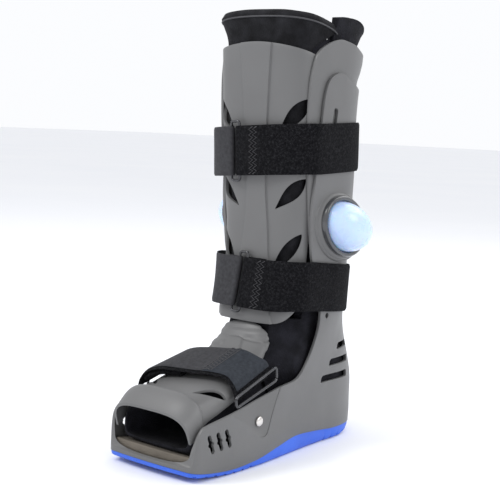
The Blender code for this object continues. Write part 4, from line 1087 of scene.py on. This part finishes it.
def leg_strap(name, centre, ring_x, lean, drop):
    """Strap round the leg, its anchor webbing, the ring between them and the stitching."""
    wire = RING_WIRE / 2.0
    radius = wire + SEAT_GAP + STRAP_THICKNESS / 2.0
    low = STRAP_CLEARANCE + STRAP_THICKNESS / 2.0
    start = ring_x + RING_PITCH / 2.0
    route = fold(start, radius, 1.0, 22.0, low)
    top = low + 2.0 * radius
    over = STRAP_CLEARANCE * 2.0 + STRAP_THICKNESS * 1.5

    def upper(along):
        return max(top, over) + (low - top) * smooth((along - start - 22.0) / 45.0)

    for k in range(1, 111):
        along = start + (STRAP_END - start) * k / 110
        route.append((along, upper(along)))
    strap = ribbon(name + "_fine", route, STRAP_THICKNESS, centre, lean, drop)
    finish(strap, [name], PILE, 50.0)

    radius = wire + SEAT_GAP + WEBBING / 2.0
    low = STRAP_CLEARANCE + STRAP_THICKNESS - WEBBING / 2.0
    bar = ring_x - RING_PITCH / 2.0
    route = fold(bar, radius, -1.0, 16.0, low)
    for k in range(1, 81):
        along = bar + (ANCHOR_END - bar) * k / 80
        route.append((along, low + 2.0 * radius * (1.0 - smooth((bar - 20.0 - along) / 30.0))))
    anchor = ribbon(name + "_anchor_fine", route, WEBBING, centre, lean, drop)
    finish(anchor, [name + "_anchor"], WEB, 50.0)

    above = STRAP_CLEARANCE + STRAP_THICKNESS + SEAT_GAP + wire
    bars = []
    for along in (-1, 1):
        ends = []
        for side in (-1, 1):
            z = centre + side * STRAP_WIDTH / 2.0
            p = belt_point(z, ring_x + along * RING_PITCH / 2.0, above)
            ends.append(Vector((p.x, p.y, z + lean * p.x)))
        spare = (ends[1] - ends[0]).normalized() * RING_MARGIN
        bars.append((ends[0] - spare, ends[1] + spare))
    wire_loop(name + "_ring_fine", [bars[0][0], bars[1][0], bars[1][1], bars[0][1]], 2.4,
              [name + "_ring"])
    stitches(name, centre, lean, drop, start, upper)


def stitches(name, centre, lean, drop, start, upper):
    """Two zigzag seams over the strap's folded end."""
    first = start + 16.0
    rows = 17
    for side, shift in ((0, 0.0), (1, 5.0)):
        line = []
        for k in range(rows + 1):
            along = first + shift + (5.0 if k % 2 else 0.0)
            z = centre + (-0.94 + 1.88 * k / rows) * STRAP_WIDTH / 2.0
            p = belt_point(z, along, upper(along) + STRAP_THICKNESS / 2.0 + 0.15)
            height = z + lean * p.x + drop * max(p.y - 15.0, 0.0)
            line.append(Vector((*p, height)))
        finish(cord_along("%s_zigzag_%d" % (name, side), line, 0.55, 6), [], THREAD)


def wire_loop(name, corners, bend, nodes):
    """Closed wire through corners with rounded bends."""
    line = []
    count = len(corners)
    for k, corner in enumerate(corners):
        before = (corners[k - 1] - corner).normalized()
        after = (corners[(k + 1) % count] - corner).normalized()
        a, b = corner + before * bend, corner + after * bend
        for j in range(7):
            t = j / 6
            line.append(a * (1 - t) ** 2 + (corner * 0.6 + (a + b) * 0.2) * 2 * t * (1 - t)
                        + b * t * t)
        nxt = corners[(k + 1) % count] - after * bend
        line += [b.lerp(nxt, j / 8) for j in range(1, 8)]
    finish(cord_along(name, line, RING_WIRE / 2.0, 14, True), nodes, GUNMETAL, 80.0)


FOOT_STRAP = [(-0.490, -0.585, 1.0), (-0.478, -0.580, 8.0), (-0.420, -0.565, 12.0),
              (-0.300, -0.540, 10.0), (-0.130, -0.510, 7.5), (0.050, -0.475, 6.0),
              (0.230, -0.440, 6.5), (0.370, -0.410, 7.5), (0.460, -0.405, 4.0),
              (0.500, -0.405, -8.0)]


def cover_height(x, y):
    along = (y - COVER_FRONT) / (COVER_BACK - COVER_FRONT)
    crown = lookup(CROWN, along) * PANEL_TOP
    side = lookup(COVER_SIDE, along) * PANEL_TOP
    out = min(abs(x) / (lookup(COVER_HALF, along) * COVER_WIDTH / 2.0), 0.95)
    power = lookup(COVER_POWER, along)
    return side + (crown - side) * (1.0 - out ** power) ** (1.0 / power)


def foot_edges():
    """Front and rear edges of the foot strap's underside."""
    ends = []
    for row_x, row_y, row_lift in FOOT_STRAP:
        x, y = row_x * COVER_WIDTH, row_y * TOE_REACH
        edge = []
        for side in (-1.0, 1.0):
            yy = y + side * FOOT_STRAP_WIDTH * 0.475
            edge.append(Vector((x, yy, cover_height(x, yy) + row_lift)))
        ends.append(edge)
    return [flow([tuple(e[k]) for e in ends], 10) for k in (0, 1)]


FOOT_EDGES = foot_edges()
FOOT_RUN = shares(FOOT_EDGES[0])


def foot_ends(want):
    """Front and rear point of the foot strap's underside at a share of its run."""
    low, t = segment(FOOT_RUN, want)
    return [Vector(tuple(a + (b - a) * t for a, b in zip(line[low], line[low + 1])))
            for line in FOOT_EDGES]


def foot_frame(want, behind):
    """Both edge points at a share of the run, and the way out between a little behind it
    and a little ahead."""
    front, rear = foot_ends(want)
    f2, r2 = foot_ends(min(want + 0.01, 1.0))
    f1, r1 = foot_ends(max(want - behind, 0.0))
    return front, rear, (f2 + r2 - f1 - r1).cross(rear - front).normalized()


def foot_band(name, start, end, low, high, lift, thickness, look, nodes):
    """Part of the foot strap between two shares of its run and two shares of its width."""
    steps, across = 70, 24
    rows = []
    for i in range(steps + 1):
        front, rear, out = foot_frame(start + (end - start) * i / steps, 0.01)
        up, down = [], []
        for k in range(across + 1):
            s = k / across
            share = low + (high - low) * s
            p = front.lerp(rear, share)
            rim = max(0.0, 1.0 - min(s, 1.0 - s) * (high - low) * 52.0 / (thickness / 2.0))
            half = thickness / 2.0 * math.sqrt(max(0.06, 1.0 - rim * rim))
            up.append(tuple(p + out * (lift + thickness / 2.0 + half)))
            down.append(tuple(p + out * (lift + thickness / 2.0 - half)))
        rows.append(up + down[::-1])
    finish(turned(name, rows), nodes, look, 50.0)


# Stitching on the foot strap: the shares of its run that a line swings between, and its swings
FOOT_STITCHES = [(0.600, 0.655, 11), (0.655, 0.600, 11), (0.592, 0.592, 1), (0.663, 0.663, 1)]


def make_foot_strap():
    foot_band("foot_strap_under", 0.08, 0.42, 0.02, 0.98, -6.2, 5.9, PILE, [])
    for index, (start, end, rows) in enumerate(FOOT_STITCHES):
        line = []
        for k in range(rows * 6 + 1):
            t = k / 6
            saw = t % 2.0 if t % 2.0 <= 1.0 else 2.0 - t % 2.0
            front, rear, out = foot_frame(start + (end - start) * saw, 0.0)
            line.append(front.lerp(rear, 0.09 + 0.87 * k / (rows * 6)) + out * 3.7)
        finish(cord_along("foot_strap_stitch_%d" % index, line, 0.5, 6), [], THREAD)
    foot_band("foot_strap_fine", 0.0, 1.0, 0.0, 1.0, 0.0, 2.0, PILE, ["foot_strap"])
    foot_band("foot_strap_felt", 0.06, 0.60, 0.07, 0.98, 1.9, 1.6, WEB, [])
    foot_band("foot_strap_web", 0.60, 0.93, 0.06, 0.97, 1.9, 1.6, SLATE, [])


FOOT_RING = [(0.562, -0.615, 0.575), (0.550, -0.210, 0.735), (0.560, -0.210, 0.640),
             (0.572, -0.615, 0.507)]


def make_foot_rings():
    for side, word in SIDES:
        corners = [Vector((side * x * COVER_WIDTH, y * TOE_REACH, z * PANEL_TOP))
                   for x, y, z in FOOT_RING]
        wire_loop("foot_ring_%s_fine" % word, corners, 2.8, ["foot_ring_" + word])


# Pumps and rivets

def make_pumps():
    for side, word in SIDES:
        seat = PUMP_REACH - 1.0 + SEAT_GAP
        rim = 2.0 * BEZEL_RIM
        profile = [(0.0, 0.0), (0.0, 2.6), (-0.5, 4.0), (-1.8, 4.8), (-4.0, 5.1), (-7.0, 4.9),
                   (-9.0, 4.4), (-rim, 3.6), (-rim, 0.0)]
        rings = [oval(PUMP_LENGTH + grow, PUMP_WIDTH + grow, seat + rise, side)
                 for grow, rise in profile]
        finish(turned("pump_bezel_%s_fine" % word, rings, tube=True), ["pump_bezel_" + word],
               BEZEL, 60.0)
        inner = (PUMP_LENGTH - rim - 0.8, PUMP_WIDTH - rim - 0.8)
        domes = []
        for k in range(25):
            turn = math.radians(90.0 * k / 25)
            domes.append(oval(inner[0] * math.cos(turn) ** 0.8, inner[1] * math.cos(turn) ** 0.8,
                              seat + BULB_HEIGHT * math.sin(turn), side))
        finish(turned("pump_bulb_%s_fine" % word, domes), ["pump_bulb_" + word], BULB,
               60.0)


def make_rivets():
    for side, word in SIDES:
        y, z = -0.379 * TOE_REACH, 0.1315 * UPRIGHT_HEIGHT
        seat = surface_x(y, z, 0.0) + SEAT_GAP
        rings = []
        for reach, size in [(0.0, 1.0), (0.6, 1.0)] + [
                (0.6 + 1.8 * math.sin(math.radians(a)), math.cos(math.radians(a)))
                for a in (15, 30, 45, 60, 75, 86)]:
            radius = RIVET_RADIUS * size
            rings.append([(side * (seat + reach), y + radius * math.cos(math.pi * k / 20),
                           z + radius * math.sin(math.pi * k / 20)) for k in range(40)])
        finish(turned("side_rivet_%s_fine" % word, rings), ["side_rivet_" + word], STEEL,
               50.0)


# Stage

def make_stage():
    bpy.ops.mesh.primitive_plane_add(size=60.0, location=(0.0, 0.0, 0.0))
    floor = bpy.context.object
    floor.name = "floor"
    look = Look("floor_paper", (0.86, 0.87, 0.90), 0.75)
    look.colour(look.noise(1.2, 2.0), 0.3, 0.7, (0.855, 0.865, 0.895), (0.875, 0.882, 0.905))
    floor.data.materials.append(look.made)
    world = bpy.data.worlds.new("studio")
    world.use_nodes = True
    world.node_tree.nodes["Background"].inputs["Color"].default_value = (0.97, 0.98, 1.0, 1.0)
    world.node_tree.nodes["Background"].inputs["Strength"].default_value = 1.0
    bpy.context.scene.world = world
    bpy.context.scene.view_settings.view_transform = "Standard"
    for name, place, size, power in LIGHTS:
        data = bpy.data.lights.new(name, "AREA")
        data.size = size
        data.energy = power
        light = bpy.data.objects.new(name, data)
        light.location = place
        aim = Vector((0.0, 0.0, 0.22)) - Vector(place)
        light.rotation_euler = aim.to_track_quat("-Z", "Y").to_euler()
        bpy.context.scene.collection.objects.link(light)


def make_camera():
    data = bpy.data.cameras.new("camera")
    data.sensor_width = CAMERA_SENSOR
    data.lens = CAMERA_LENS
    camera = bpy.data.objects.new("camera", data)
    turn = Matrix(CAMERA_AXES).transposed().to_4x4()
    camera.matrix_world = Matrix.Translation(CAMERA_PLACE) @ turn
    bpy.context.scene.collection.objects.link(camera)
    bpy.context.scene.camera = camera


make_outsole()
make_base()
make_rear_shell()
make_front_shell()
make_toe_cover()
make_insole()
make_liner()
make_pad()
for strap_row in LEG_STRAPS:
    leg_strap(*strap_row)
make_foot_strap()
make_foot_rings()
make_pumps()
make_rivets()
make_stage()
make_camera()
bpy.context.view_layer.update()
